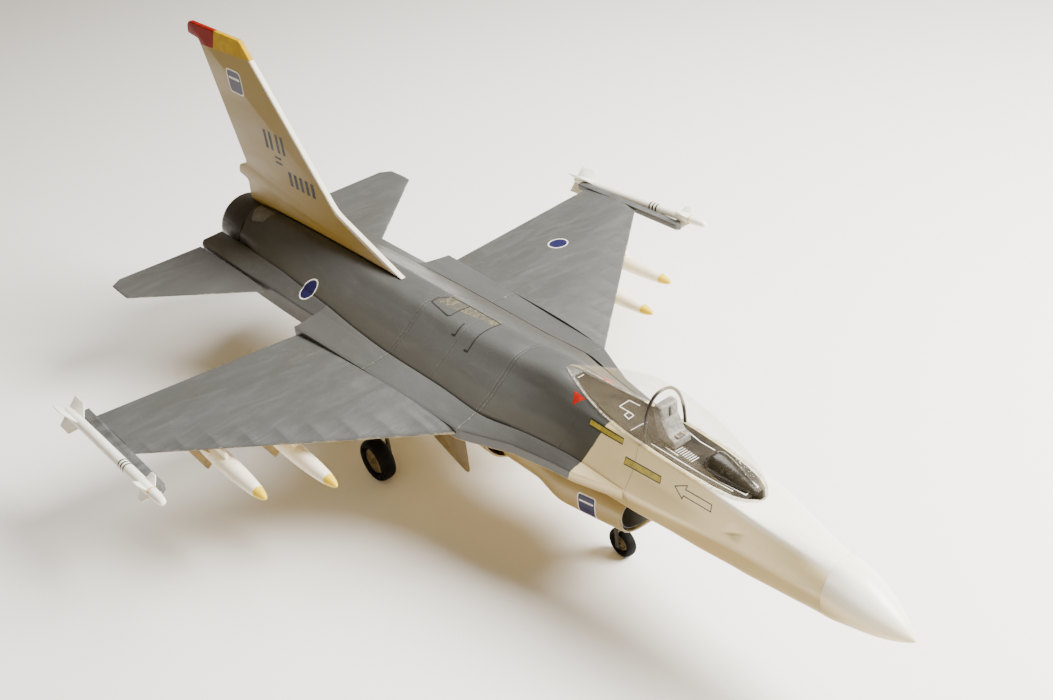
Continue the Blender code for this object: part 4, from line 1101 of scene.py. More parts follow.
def make_fuselage():
    """Three lengths of fuselage, the nose cone and the intake fairing."""
    start, end = RADOME_Y + 0.3, FORWARD_JOINT_Y - JOINT_GAP
    seams = ((-359.5, 1.0), (-250.0, 0.8), (-118.0, 2.6))
    forward = fuselage_shell("forward", start, end, seams, 0.08, dented=True)
    boolean_cut(forward, *extruded(canopy_outline(SILL), 225.0, 320.0, "XY"))
    start, end = FORWARD_JOINT_Y + JOINT_GAP, REAR_JOINT_Y - JOINT_GAP
    seams = ((-112.0, 2.2), (-2.0, 0.8), (90.5, 1.6))
    centre = fuselage_shell("centre", start, end, seams, 0.06)
    seams = ((97.0, 1.6), (275.0, 1.0), (470.0, 0.8))
    rear = fuselage_shell("rear", REAR_JOINT_Y + JOINT_GAP, TAIL_END_Y, seams, 0.10)
    make_nose_cone()
    return forward, centre, rear, make_intake()


def make_nose_cone():
    """A rounded cone that starts as the fuselage's own front ring."""
    base = curve_rows(STATIONS, [RADOME_Y])[0]
    middle = (base[1] + base[10]) / 2
    length = RADOME_Y - NOSE_TIP[0]

    def nose_ring(share, amount):
        shrink = (1.0 - share**1.75) ** 0.82
        drop = middle + (NOSE_TIP[1] - middle) * share**1.3
        roundness = min(share / 0.4, 1.0)
        roundness = roundness * roundness * (3 - 2 * roundness)
        out = []
        for x, z in ring_of(base, amount):
            spoke = Vector((x, z - middle))
            circle = spoke.normalized() * (34.9 - amount)
            spot = spoke.lerp(circle, roundness) * shrink
            out.append((spot.x, spot.y + drop))
        return at(out, RADOME_Y - share * length)

    shares = [1.0 - (1.0 - i / 40) ** 1.6 for i in range(40)] + [0.9985]
    outer = [nose_ring(s, 0.0) for s in shares]
    inner = [nose_ring(s, SKIN) for s in shares if s < 0.85]
    shape = wall_mesh(outer, inner, closed_end=True)
    build("radome", shape, nose_paint(), ("nose_cone",))


def make_intake():
    """The chin intake's fairing with its rounded lip, the nose leg's hole and the middle strut."""
    values = curve_rows(INTAKE, steps(MOUTH_Y, INTAKE[-1][0], 6.0))

    def section(row, inward):
        return superellipse(row[1] - inward, row[2] + inward, row[3] - inward, 72, 0.7)

    outer = [at(unevenness(section(row, 0.0), row[0], 0.35), row[0]) for row in values]
    inner = [at(section(row, SKIN), row[0]) for row in values]
    front = at(section(INTAKE[0], 1.25), MOUTH_Y - 0.9)
    outer = [front, at(section(INTAKE[0], 0.5), MOUTH_Y - 0.6)] + outer
    inner = [front, at(section(INTAKE[0], 2.0), MOUTH_Y - 0.6)] + inner
    shape = wall_mesh(outer, inner)
    fairing = build("intake_shell", shape, intake_paint(), ("intake_fairing",))
    leg_hole = [(0.01, 70.0), (3.6, 70.0), (3.6, 100.0), (0.01, 100.0)]
    boolean_cut(fairing, *turned(leg_hole, (0, NOSE_WHEEL_Y, 0), "Z", 20))
    strut = rounded([(-322.0, 144.2), (-322.0, 151.5), (-296.0, 151.5), (-304.0, 146.6)], [1.5] * 4)
    strut = extruded(strut, -1.4, 1.4, "YZ", bevel=0.5)
    dark = plain_paint("diverter_dark", (0.10, 0.085, 0.06))
    build("diverter_strut", strut, dark)
    return fairing


def half_thickness(c, chord, thickness, edge):
    """Half the height of a symmetric wing section at a share of its chord."""
    shape = 0.2969 * math.sqrt(c) - 0.126 * c - 0.3516 * c**2 + 0.2843 * c**3 - 0.1015 * c**4
    return 5 * thickness * chord * shape + edge * min(c * 4, 1.0)


def chord_shares(count):
    """Shares of the chord, close together at the front and the back."""
    return [(1 - math.cos(math.pi * i / count)) / 2 for i in range(count + 1)]


def off_edges(share):
    """0 at both edges of a chord, for waves that leave the edges straight."""
    return min(share * 20, 1.0) * (1 - share)


def wing_edges(x):
    """Where the wing starts and ends along Y at an x."""
    edges = []
    roots, tips = (WING_ROOT_FRONT, WING_ROOT_BACK), (WING_TIP_FRONT_Y, WING_TIP_BACK_Y)
    for (root_x, root_y), tip_y in zip(roots, tips):
        edges.append(root_y + (tip_y - root_y) * (x - root_x) / (WING_TIP_X - root_x))
    return edges


def make_wing(side, label):
    """Film sagging between ribs over a fine surface, closed at both ends."""
    shares = [s * (0.55 + 0.45 * s) for s in chord_shares(quality(30))]
    start, front_y = WING_ROOT_FRONT
    rings = []
    for x in steps(start, WING_TIP_X, quality(3.2)):
        front, back = wing_edges(x)
        thickness = 0.056 + 0.014 * (x - start) / (WING_TIP_X - start)
        phase = (x - RIB_START) / RIB_PITCH
        bay = abs(math.sin(math.pi * phase)) ** 0.65 if x > RIB_START - 10.0 else 0.4
        ring = []
        for surface, order in ((1, shares), (-1, reversed(shares[1:-1]))):
            for share in order:
                y = front + (back - front) * share
                root_x = start + 0.3 + 14.5 * (y - front_y) / 372.0
                px = max(x, root_x) if x < start + 16.0 else x
                half = half_thickness(share, back - front, thickness, 0.8)
                nose_sag = math.exp(-(((share - 0.085) / 0.075) ** 2))
                sag = bay * (1.7 * nose_sag + 0.16 * min(share * 8, 1.0) * (1 - share))
                wave = lump(px * 0.5, y, surface * 9.0, 17.0, 0.22) * off_edges(share)
                ring.append((side * px, y, WING_Z + surface * (half - min(sag, half * 0.6) + wave)))
        rings.append(ring)
    shape, name = tube_mesh(rings), label + "_wing"
    paint = covering_paint(name + "_film", (-223.95, 0.86780), WING_Z, ribs=True)
    return build(name + "_covering", shape, paint, (name,), 40.0)


def make_tailplane(side, label):
    """Film over one all-moving tailplane, with its tip rounded off."""
    shares, level = chord_shares(20), TAIL_PIVOT[1]
    # x, front y, back y and thickness over chord.
    table = ((110.0, 418.0, 644.0, 0.03), (258.0, 559.0, 646.0, 0.045), (275.2, 575.0, 633.0, 0.05))
    rings = []
    for low, high in zip(table, table[1:]):
        for x in steps(low[0], high[0], 4.0):
            t = (x - low[0]) / (high[0] - low[0])
            _, front, back, thickness = (a + (b - a) * t for a, b in zip(low, high))
            ring = []
            for surface, order in ((1, shares), (-1, reversed(shares[1:-1]))):
                for share in order:
                    y = front + (back - front) * share
                    half = half_thickness(share, back - front, thickness, 0.9)
                    half += lump(x, y, surface * 30.0, 28.0, 0.25) * off_edges(share)
                    ring.append((side * x, y, level + surface * half))
            rings.append(ring)
    tip_x, middle_y = side * 276.0, 604.0
    tip = [(tip_x, y * 0.98 + middle_y * 0.02, level + (z - level) * 0.55) for _, y, z in rings[-1]]
    shape, node, body = tube_mesh(rings + [tip]), (label + "_tailplane",), label + "_stabiliser"
    paint = covering_paint(label + "_tail_film", (313.2, 0.9527), level)
    build(label + "_tail_surface", shape, paint, node, 40.0, body)


# Where the fin meets the spine along Y, then its outline from the foot's rear: y, z, corner radius.
FIN_FOOT = (176.0, 223.0, 270.5, 322.0, 373.5, 473.5, TAIL_END_Y)
FIN_OUTLINE = (
    (632.0, 241.5, 1.0),
    (632.0, 253.0, 4.0),
    (628.0, 277.0, 8.0),
    (657.0, 282.0, 6.0),
    (651.0, 298.0, 6.0),
    (618.0, 310.0, 8.0),
    (691.0, 509.0, 6.0),
    (726.5, 512.0, 3.0),
    (723.0, 526.0, 6.0),
    (714.0, 534.0, 5.0),
    (543.0, 535.0, 5.0),
    (340.0, 308.0, 14.0),
)


def make_fin():
    foot = [(y, curve_rows(STATIONS, [y])[0][1] + 0.3, 0.5) for y in FIN_FOOT]
    corners = foot + list(FIN_OUTLINE)
    ring = rounded([(y, z) for y, z, _ in corners], [radius for _, _, radius in corners], 4)
    sheet = extruded(ring, -4.2, 4.2, "YZ", bevel=1.6, chop=3)
    return build("fin_sheet", sheet, fin_paint(), ("tail_fin",), 30.0)


def make_nozzle():
    """Petals with narrow gaps round a dark lined outlet."""
    length = 77.2
    profile = [(46.5, 0.2), (53.0, 0.0), (59.5, 0.0), (60.0, 0.6), (60.0, 8.0), (59.9, 14.0)]
    profile += [(59.6, 19.3), (58.8, 33.0), (57.5, 46.3), (55.6, 60.0), (53.7, 72.0)]
    profile += [(53.0, length - 0.5), (52.6, length), (50.8, length), (50.5, length - 0.6)]
    profile += [(50.4, 60.0), (50.2, 48.0), (50.0, 38.6), (48.0, 20.0), (46.6, 8.0), (46.5, 4.0)]

    def petals(angle, radius, height):
        if height < 24.0 or radius < 51.0:
            return 0.0
        phase = (angle * 12 / (2 * math.pi)) % 1.0
        edge = min(phase, 1.0 - phase)
        return -0.3 * math.exp(-((edge / 0.03) ** 2))

    count = quality(192)
    points, faces = turned(profile, (0, 598.8, 180.0), "Y", count, petals)
    size = len(profile)
    for step in range(count):
        after = (step + 1) % count
        last = (size - 1) * count
        faces.append((step, after, last + after, last + step))
    build("nozzle_petals", (points, faces), nozzle_paint(), ("exhaust_nozzle",))


def between_rows(rows, y):
    """A table read at a y along straight lines."""
    index = max(i for i in range(len(rows) - 1) if rows[i][0] <= y or i == 0)
    low, high = rows[index], rows[index + 1]
    t = min(max((y - low[0]) / (high[0] - low[0]), 0.0), 1.0)
    return [a + (b - a) * t for a, b in zip(low, high)]


def shelf_rings(side, ys, corners_at, top_edges):
    """Rings of a shelf beside the fuselage, with the listed edges divided and made uneven."""
    rings = []
    for y in ys:
        corners, radii = corners_at(y)
        ring = []
        for index, corner in enumerate(corners):
            after = Vector(corners[(index + 1) % len(corners)])
            parts = 6 if index in top_edges else 1
            for part in range(parts):
                radius = radii[index] if part == 0 else 0.1
                ring.append((tuple(Vector(corner).lerp(after, part / parts)), radius))
        smooth_ring = rounded([p for p, _ in ring], [r for _, r in ring], 2)
        out = []
        for x, z in smooth_ring:
            wave = lump(x, y, z, 30.0, 0.4, 3.0) + lump(x, y, z, 9.0, 0.15, 8.0)
            out.append((side * x, y, z + (wave if z > 190.0 and x > corners[0][0] + 2.0 else 0.0)))
        rings.append(out)
    return rings


def make_shelves(side, label, bore):
    """The strake beside the cockpit and wing, and the boom that carries the tailplane."""

    def strake_corners(y):
        body = curve_rows(STATIONS, [y])[0]
        _, outer_x, outer_top = between_rows(STRAKE_EDGE, y)
        inner_x, inner_top = body[6] + 0.3, body[7] - 0.1
        shelf_x = inner_x + max(0.3, 14.0 * (y - REAR_JOINT_Y) / 177.0)
        shelf_top = STRAKE_SHELF_Z if y > REAR_JOINT_Y + 4.0 else inner_top - 0.05
        corners = [(inner_x, inner_top), (shelf_x, shelf_top), (outer_x, outer_top)]
        return corners + [(outer_x, 178.0), (inner_x, 178.0)], (0.2, 1.5, 2.2, 2.2, 0.2)

    def boom_corners(y):
        _, outer_x, top, bottom = between_rows(BOOM_EDGE, y)
        body = curve_rows(STATIONS, [min(y, TAIL_END_Y)])[0]
        inner_x = body[6] + 0.3 if y <= TAIL_END_Y else 62.5
        inner_top = min(body[7], 207.0)
        if y > BOOM_FALL_Y:
            inner_top = 203.0 - 9.5 * min((y - BOOM_FALL_Y) / 125.0, 1.0)
        corners = [(inner_x, inner_top), (outer_x, top), (outer_x, bottom), (inner_x, bottom)]
        return corners, (0.2, 2.5, 2.5, 0.2)

    pitch = quality(6.0)
    seams = ((FORWARD_JOINT_Y, 2.0), (REAR_JOINT_Y, 2.4))
    paint = fuselage_paint(label + "_strake_finish", seams, 0.7, 179.3, 0.0)
    ys = steps(STRAKE_EDGE[0][0], 270.2, pitch)
    shape = tube_mesh(shelf_rings(side, ys, strake_corners, (1, 2)))
    build(label + "_strake_film", shape, paint, (label + "_strake",), 40.0)
    ys = steps(BOOM_EDGE[0][0], BOOM_EDGE[-1][0], pitch)
    shape = tube_mesh(shelf_rings(side, ys, boom_corners, (0, 1)))
    paint = fuselage_paint(label + "_boom_finish", ((475.0, 1.0),), 0.10, 160.0, 0.0)
    boom = build(label + "_boom_film", shape, paint, (label + "_tail_boom",), 40.0)
    boolean_cut(boom, *bore)
    lens = soft_box((-2.2, -1.6, -6.5), (2.2, 1.6, 6.5), 1.2)
    red = plain_paint(label + "_lens_red", (0.5, 0.02, 0.012), 0.2, (0.12, 0.2), 4.0)
    lens = moved(lens, shift=(side * 140.4, 271.6, 190.0))
    build(label + "_position_light", lens, red)
    return boom


def surface_z(target, places):
    """Heights in mm of a piece's upper surface under each (x, y) in mm."""
    tree = BVHTree.FromObject(target, bpy.context.evaluated_depsgraph_get())
    found = []
    for x, y in places:
        hit = tree.ray_cast(Vector((x, y, 600.0)) * MM, Vector((0, 0, -1)))[0]
        found.append(hit.z / MM)
    return found


def arch(half, base, top, count):
    """A squared-off half ellipse as (x, z), from one foot to the other."""
    points = []
    for step in range(count + 1):
        angle = math.pi * step / count
        across = bent(math.cos(angle), 0.85)
        points.append((half * across, base + (top - base) * math.sin(angle) ** 0.85))
    return points


def make_canopy(skin):
    """Clear canopy with its bead of glue, and the hoop, deck, seat and coaming under it."""
    count = quality(48)
    rows = curve_rows(CANOPY, steps(CANOPY[0][0], CANOPY[-1][0], 4.0))
    feet = surface_z(skin, [(row[1], row[0]) for row in rows])
    arcs = [at(arch(row[1], foot + 0.9, row[3], count), row[0]) for row, foot in zip(rows, feet)]
    shape = [p for arc in arcs for p in arc], loft_faces(count + 1, len(arcs), closed=False)
    node = ("canopy_glass",)
    glass = build("canopy_bubble", shape, glass_paint(), node, 80.0, HATCH)
    wall = glass.modifiers.new("wall", "SOLIDIFY")
    wall.thickness = 0.9 * MM
    wall.offset = -1.0

    rim = [(row[1] + 0.5, row[0], foot + 1.75) for row, foot in zip(rows, feet)]
    rim = [(-x, y, z) for x, y, z in reversed(rim)] + rim
    bead = swept(rim, 1.05, 10, 0.7)
    build("canopy_glue", bead, glue_paint(), angle=80.0, body=HATCH)

    _, half, deck, top = curve_rows(CANOPY, [HOOP_Y])[0]
    path = [(x, HOOP_Y - 0.09 * x, z) for x, z in arch(half - 2.9, deck + 2.1, top - 3.0, 40)]
    black = plain_paint("hoop_black", (0.008, 0.007, 0.006), 0.4, (0.3, 0.5), 5.0)
    hoop = swept(path, 2.1, 12, 0.2)
    build("canopy_frame", hoop, black, ("canopy_hoop",), 60.0, HATCH)
    make_deck()
    make_seat()
    make_coaming()


def make_deck():
    """The hatch's printed deck, with its lines and a ladder of short bars."""
    rings = []
    for row in curve_rows(CANOPY[1:-1], steps(-509.0, -216.0, 5.0)):
        y, wide, level = row[0], row[1] - SILL - 0.35, row[2]
        ring = [(-wide, y, level - 1.9), (wide, y, level - 1.9)]
        for step in range(13):
            x = wide * (1 - step / 6)
            ring.append((x, y, level - 0.35 + lump(x, y, level, 22.0, 0.3)))
        rings.append(ring)
    shape, node = tube_mesh(rings), ("cockpit_deck",)
    deck_card = build("deck_card", shape, deck_paint(), node, body=HATCH)
    lines = []
    for path in DECK_LINES:
        lines += stroke(path, 1.15)
    for bar in range(8):
        y = -399.0 - bar * 3.6
        lines += stroke([(-14.5, y), (-3.0, y - 0.8)], 1.0)
    pale = plain_paint("deck_ink", (0.90, 0.88, 0.82), 0.3, (0.4, 0.6), 5.0, 0.02)
    decal("deck_lines", lines, [deck_card], "+Z", pale, 0.08, 5.0, body=HATCH)


def make_coaming():
    """The rounded shroud over the instruments, and their panel."""
    rings = []
    shroud = ((-512, 3.5), (-505, 5.6), (-497, 8.5), (-484, 11.8), (-470, 14.5))
    shroud += ((-460, 16.2), (-452, 17), (-447, 16.0), (-443, 12.2), (-441, 9))
    for y, radius in shroud:
        level = between_rows(CANOPY, y)[2] + 0.35
        rings.append([(x * 0.99, y, z + level) for x, z in arch(radius, 0.0, radius * 1.1, 24)])
    dome = plain_paint("coaming_black", (0.015, 0.0125, 0.008), 0.45, (0.16, 0.32), 14.0, 0.06)
    shape, node = tube_mesh(rings), ("instrument_coaming",)
    build("coaming_shell", shape, dome, node, 50.0, HATCH)
    panel = soft_box((-7.0, -441.6, 247.0), (7.0, -440.4, 255.0), 0.5)
    dials = plain_paint("panel_face", (0.02, 0.018, 0.016), 0.4, (0.3, 0.4), 3.0)
    build("instrument_panel", panel, dials, body=HATCH)


def make_seat():
    """Ejection seat: shell, headrest, side rails, cushions and straps."""
    feet = [(y, between_rows(CANOPY, y)[2] + 0.35) for y in (-397.0, -376.0)]
    side = [(-366.0, 280.0), (-374.5, 283.0), (-383.0, 266.0), (-388.0, 258.0), (-396.5, 256.0)]
    profile = rounded(feet + side, [0.6, 1.0, 3.0, 2.5, 4.0, 3.0, 3.0])
    frame_parts = [extruded(profile, -13.6, 13.6, "YZ", bevel=1.4)]
    frame_parts.append(soft_box((-14.5, -377.5, 273.0), (14.5, -364.5, 294.5), 2.4))
    rail = rounded([(-379.5, 250), (-371.5, 250), (-363.5, 288), (-371.5, 288)], [1.5] * 4)
    for x in (-13.2, 13.2):
        frame_parts.append(moved(extruded(rail, -0.8, 0.8, "YZ", bevel=0.3), shift=(x, 0, 0)))
    shape, node = merged(frame_parts), ("ejection_seat",)
    build("seat_shell", shape, seat_paint(), node, 50.0, HATCH)
    tilt = Matrix.Rotation(math.radians(-17.0), 3, "X")
    back = moved(soft_box((-6.2, -1.4, -9.0), (6.2, 1.4, 9.0), 1.1), tilt, (0, -377.0, 269.0))
    pan = soft_box((-7.2, -396.0, 255.2), (7.2, -387.5, 258.4), 1.3)
    dark = plain_paint("seat_cloth", (0.10, 0.095, 0.08), 0.4, (0.7, 0.9), 4.0, 0.15)
    build("seat_cushions", merged([back, pan]), dark, body=HATCH)
    slot_box = soft_box((-2.0, -378.2, 278.5), (2.0, -376.6, 290.5), 0.6)
    black = plain_paint("seat_slot_black", (0.012, 0.011, 0.010), 0.3, (0.4, 0.6), 3.0)
    build("seat_slot", slot_box, black, body=HATCH)
    straps = []
    for x in (-4.3, 4.3):
        strap = soft_box((-0.8, -0.35, -8.5), (0.8, 0.35, 8.5), 0.25)
        straps.append(moved(strap, tilt, (x, -378.8, 268.8)))
        straps.append(soft_box((x - 0.8, -395.0, 258.3), (x + 0.8, -388.0, 259.0), 0.25))
    tan = plain_paint("strap_tan", (0.42, 0.30, 0.13), 0.35, (0.7, 0.9), 2.0, 0.1)
    build("seat_straps", merged(straps), tan, body=HATCH)


def rectangle(low_u, high_u, low_v, high_v, radius=0.6):
    corners = [(low_u, low_v), (high_u, low_v), (high_u, high_v), (low_u, high_v)]
    return rounded(corners, [radius] * 4, 4)


def disc(u, v, radius, count=40):
    angles = [2 * math.pi * s / count for s in range(count)]
    return [(u + radius * math.cos(a), v + radius * math.sin(a)) for a in angles]


def ring_band(u, v, inner, outer, count=40):
    quads = []
    inside, outside = disc(u, v, inner, count), disc(u, v, outer, count)
    for step in range(count):
        after = (step + 1) % count
        quads.append([inside[step], outside[step], outside[after], inside[after]])
    return quads


# Layered patches: name, box (low y, high y, low z, high z, corner radius), paint and lift.
INTAKE_PATCH = (
    ("intake_patch_edge", (-291.0, -262.0, 101.0, 134.0, 4.0), "white", 0.12),
    ("intake_patch", (-289.3, -263.7, 102.7, 132.3, 3.0), "blue", 0.2),
    ("intake_patch_bar", (-287.5, -265.5, 122.5, 125.0, 0.8), "white", 0.28),
)
FIN_BADGE = (
    ("fin_badge_edge", (565.0, 613.0, 438.0, 479.0, 10.0), "white", 0.12),
    ("fin_badge", (568.0, 610.0, 440.5, 476.5, 8.0), "blue", 0.2),
    ("fin_badge_bar", (572.0, 606.0, 462.0, 466.0, 1.0), "white", 0.28),
)
ARROW = ((-423, 223), (-435.5, 212.5), (-437.0, 217.0), (-477, 215.0))
ARROW += ((-477, 224.5), (-438.5, 225.5), (-440.5, 231.4))
DISC_RADIUS = 14.5
DISC_RIM = 16.6


def make_markings(forward, centre, rear, intake, fin, wings, booms):
    """Plain generic marks: strips, bars, discs, a triangle and an arrow, with no lettering."""
    black = plain_paint("mark_black", (0.014, 0.013, 0.012), 0.3, (0.4, 0.6), 6.0, 0.02)
    white = plain_paint("mark_white", (0.80, 0.76, 0.66), 0.2, (0.35, 0.5), 6.0, 0.02)
    yellow = plain_paint("mark_yellow", (0.42, 0.335, 0.03), 0.25, (0.25, 0.4), 9.0, 0.03)
    red = plain_paint("mark_red", (0.42, 0.010, 0.003), 0.2, (0.3, 0.45), 6.0, 0.02)
    blue = plain_paint("mark_blue", (0.007, 0.007, 0.06), 0.35, (0.3, 0.45), 5.0, 0.02)
    inks = {"white": white, "blue": blue}
    for side, axis in (("left", "+X"), ("right", "-X")):
        sign = 1.0 if side == "left" else -1.0

        def put(name, shapes, paint, targets=(forward,), lift=0.12, axis=axis):
            name, bridge = f"{side}_{name}", len(targets) > 1
            decal(name, shapes, targets, axis, paint, lift, 3.0, bridge)

        strips = [rectangle(-335.5, -276.0, 235.6, 243.6), rectangle(-402.0, -344.0, 216.0, 226.0)]
        put("strip_edges", strips, black)
        put("strips", [inset(strip, 1.4) for strip in strips], yellow, lift=0.2)
        put("arrow", stroke(ARROW, 1.3, closed=True), black)
        for target, layers in ((intake, INTAKE_PATCH), (fin, FIN_BADGE)):
            for name, box, ink, lift in layers:
                put(name, [rectangle(*box)], inks[ink], [target], lift)
        bars = [rectangle(y, y + 8.5, 364.0, 396.0) for y in (466.0, 482.0, 503.0, 519.0)]
        bars += [rectangle(y, y + 9.5, 313.0, 338.0) for y in (393.0, 410.0, 427.0, 444.0, 461.0)]
        bars += [rectangle(484.0, 505.0, 343.0, 347.0), rectangle(484.0, 505.0, 352.0, 356.0)]
        put("fin_bars", bars, black, [fin])
        triangle = [(sign * 21.3, -231.0), (sign * 21.3, -252.0), (sign * 34.6, -240.0)]
        put("triangle", [rounded(triangle, [0.5] * 3)], red, axis="+Z")
        if side == "right":
            under = (rear, booms[side])
            ring = ring_band(-80.0, 330.0, DISC_RADIUS, DISC_RIM)
            put("rear_disc", [disc(-80.0, 330.0, DISC_RADIUS)], blue, under, 0.35, "+Z")
            put("rear_disc_ring", ring, white, under, 0.35, "+Z")
    spot, wing = disc(284.0, 168.0, DISC_RADIUS), [wings["left"]]
    decal("wing_disc", [spot], wing, "+Z", blue)
    ring = ring_band(284.0, 168.0, DISC_RADIUS, DISC_RIM)
    decal("wing_disc_ring", ring, wing, "+Z", white)
    worn = plain_paint("bare_patch", (0.20, 0.198, 0.19), 0.35, (0.4, 0.6), 8.0)
    corners = [(-8.0, 540.0), (-31.0, 545.0), (-37.0, 580.0), (-18.0, 595.0), (-8.0, 592.0)]
    patch = rounded(corners, [5.0] * 5)
    decal("bare_patch", [patch], [rear], "+Z", worn, 0.15, 3.0)
    corners = [(-6.0, 92.5), (6.0, 92.5), (22.0, 82.0), (25.0, -30.0), (9.0, -31.0)]
    patch = rounded(corners, [3.0] * 5)
    decal("spine_film", [patch], [centre], "+Z", torn_film_paint(), 0.1)
    lines = []
    for path in SPINE_LINES:
        lines += stroke(path, 2.3)
    decal("spine_lines", lines, [centre], "+Z", black, 0.2)


def make_wheel(label, centre, radius, width, hub_radius, body, rubber, plastic, holes=()):
    """A tyre with a mould line on each wall, on a dished hub."""
    half, deep = width / 2, (radius - hub_radius) / 2
    count = quality(44)
    turns = quality(96)
    profile = []
    for step in range(count):
        angle = 2 * math.pi * step / count
        across = bent(math.sin(angle), 0.8) * half
        out = math.cos(angle) * deep
        across -= math.copysign(0.4 * math.exp(-(((out - deep * 0.3) / 0.7) ** 2)), across)
        profile.append((hub_radius + deep + out, across))
    tyre = turned(profile + profile[:1], centre, "X", turns)
    build(label + "_tyre_rubber", tyre, rubber, (label + "_tyre",), 50.0, body)
    rim = hub_radius - 0.3
    side = [(rim, 0.25), (rim - 0.4, 0.34), (rim - 1.6, 0.62), (rim - 2.6, 0.64), (rim - 3.4, 0.48)]
    side += [(rim * 0.72, 0.36), (rim * 0.5, 0.34), (5.6, 0.44), (5.0, 0.68)]
    side += [(4.6, 0.7), (2.45, 0.7), (2.35, 0.69)]
    profile = [(r, h * half) for r, h in side] + [(r, -h * half) for r, h in reversed(side)]
    hub = turned(profile + profile[:1], centre, "X", turns)
    hub = build(label + "_hub_dish", hub, plastic, (label + "_hub",), 35.0, body)
    for degrees in holes:
        angle = math.radians(degrees)
        reach = rim * 0.58
        y, z = reach * math.cos(angle), reach * math.sin(angle)
        middle = (centre[0], centre[1] + y, centre[2] + z)
        boolean_cut(hub, *cylinder(1.9, -half, half, middle, "X"))


def make_gear():
    """Wheels with their collars, and the three doors."""
    rubber = rubber_paint()
    plastic = plain_paint("hub_brown", (0.15, 0.105, 0.04), 0.4, (0.4, 0.6), 7.0, 0.08)
    door_tan = plain_paint("door_tan", (0.125, 0.080, 0.017), 0.3, (0.35, 0.5), 18.0, 0.08)
    for sign, label in ((1, "left"), (-1, "right")):
        x, y, radius = MAIN_WHEEL
        centre = (sign * x, y, radius)
        make_wheel(label + "_main", centre, radius, 25.0, 21.0, label + "_wheel", rubber, plastic)
        collar = [(2.05, 9.4), (3.6, 9.4), (4.2, 9.9), (4.2, 12.6), (3.7, 13.2), (2.05, 13.2)]
        collar = turned([(r, sign * h) for r, h in collar + collar[:1]], centre, "X", 28)
        build(label + "_wheel_collar", collar, plastic)
        outline = [(-101, 177.6), (-101, 112), (-99, 106), (-93, 104)]
        outline += [(-20, 129), (7, 153), (20, 177.6)]
        ring = rounded(outline, [2.0, 2.0, 3.0, 3.0, 14.0, 14.0, 2.0], 4)
        low, high = sorted((sign * 109.0, sign * 111.0))
        door = extruded(ring, low, high, "YZ", bevel=0.6)
        build(label + "_door_sheet", door, door_tan, (label + "_gear_door",))
    centre, holes = (0.0, NOSE_WHEEL_Y, NOSE_WHEEL_RADIUS), (90.0, 210.0, 330.0)
    make_wheel("nose", centre, NOSE_WHEEL_RADIUS, 15.0, 12.5, "nose_wheel", rubber, plastic, holes)
    outline = [(-17, 85.4), (-20, 72), (-12, 57), (-9, 57), (-6, 69), (22, 83), (26, 85.4)]
    outline = [(y + NOSE_WHEEL_Y, z) for y, z in outline]
    ring = rounded(outline, [1.0, 5.0, 3.0, 2.0, 6.0, 6.0, 0.5], 4)
    door = extruded(ring, -13.8, -12.2, "YZ", bevel=0.5)
    build("nose_door_sheet", door, door_tan, ("nose_gear_door",))


def fin_set(origin, front, back, tip_front, tip_back, reach, start, sheet=1.5):
    """Four flat fins round an axis along Y, each with a rounded edge."""
    parts = []
    corners = [(start, front + 1.0), (reach, tip_front), (reach, tip_back), (start, back)]
    outline = rounded(corners, [0.3, 2.0, 1.5, 0.3], 3)
    for degrees in (45, 135, 225, 315):
        blade = extruded(outline, -sheet / 2, sheet / 2, "XY", bevel=0.5)
        parts.append(moved(blade, Matrix.Rotation(math.radians(degrees), 3, "Y"), origin))
    return merged(parts)


def make_missiles(grey):
    """Missiles on their wing-tip rails, nose slightly up."""
    bands = [(57.5, 60.0, (0.62, 0.42, 0.02))]
    bands += [(y, y + 3.2, BLACK) for y in (131.0, 138.5, 146.0)]
    profile = [(0.02, 0.0), (2.1, 0.4), (3.6, 1.7), (4.7, 4.0), (5.5, 8.0), (6.3, 16.0), (6.8, 25.0)]
    profile += [(7.1, 34.0), (7.5, 41.0), (7.6, 45.0), (7.6, 120.0), (7.6, 200.0), (7.6, 296.0)]
    profile += [(6.7, 309.0), (5.7, 315.4), (5.0, 315.9), (3.6, 315.9), (3.4, 312.0), (0.02, 312.0)]
    turn = Matrix.Rotation(math.radians(-2.6), 3, "X")
    for sign, label in ((1, "left"), (-1, "right")):
        origin = Vector((sign * 472.0, 25.0, 199.5))
        body = turned(profile, (0, 0, 0), "Y", quality(48))
        front = fin_set((0, 0, 0), 31.0, 62.0, 44.0, 56.0, 18.9, 6.2)
        aft = fin_set((0, 0, 0), 262.0, 315.5, 284.0, 315.5, 23.9, 6.0)
        paint = banded_paint(label + "_missile_white", bands)
        shape = moved(merged([body, front, aft]), turn, origin)
        build(label + "_missile_body", shape, paint, (label + "_missile",), 35.0)
        outline = [(450.8, 72.0), (450.8, 311.0), (463.9, 311.0), (463.9, 76.0), (457.4, 66.0)]
        ring = rounded([(sign * x, y) for x, y in outline], [1.0, 1.0, 2.0, 2.0, 3.0], 4)
        rail = extruded(ring, 183.0, 193.0, "XY", bevel=0.9)
        build(label + "_rail_body", rail, grey, (label + "_tip_rail",))
        shoes = []
        for y in (115.0, 205.0, 285.0):
            low, high = sorted((sign * 463.2, sign * 465.4))
            shoes.append(soft_box((low, y - 5.0, 188.6), (high, y + 5.0, 191.8), 0.4))
        build(label + "_rail_shoes", merged(shoes), grey)


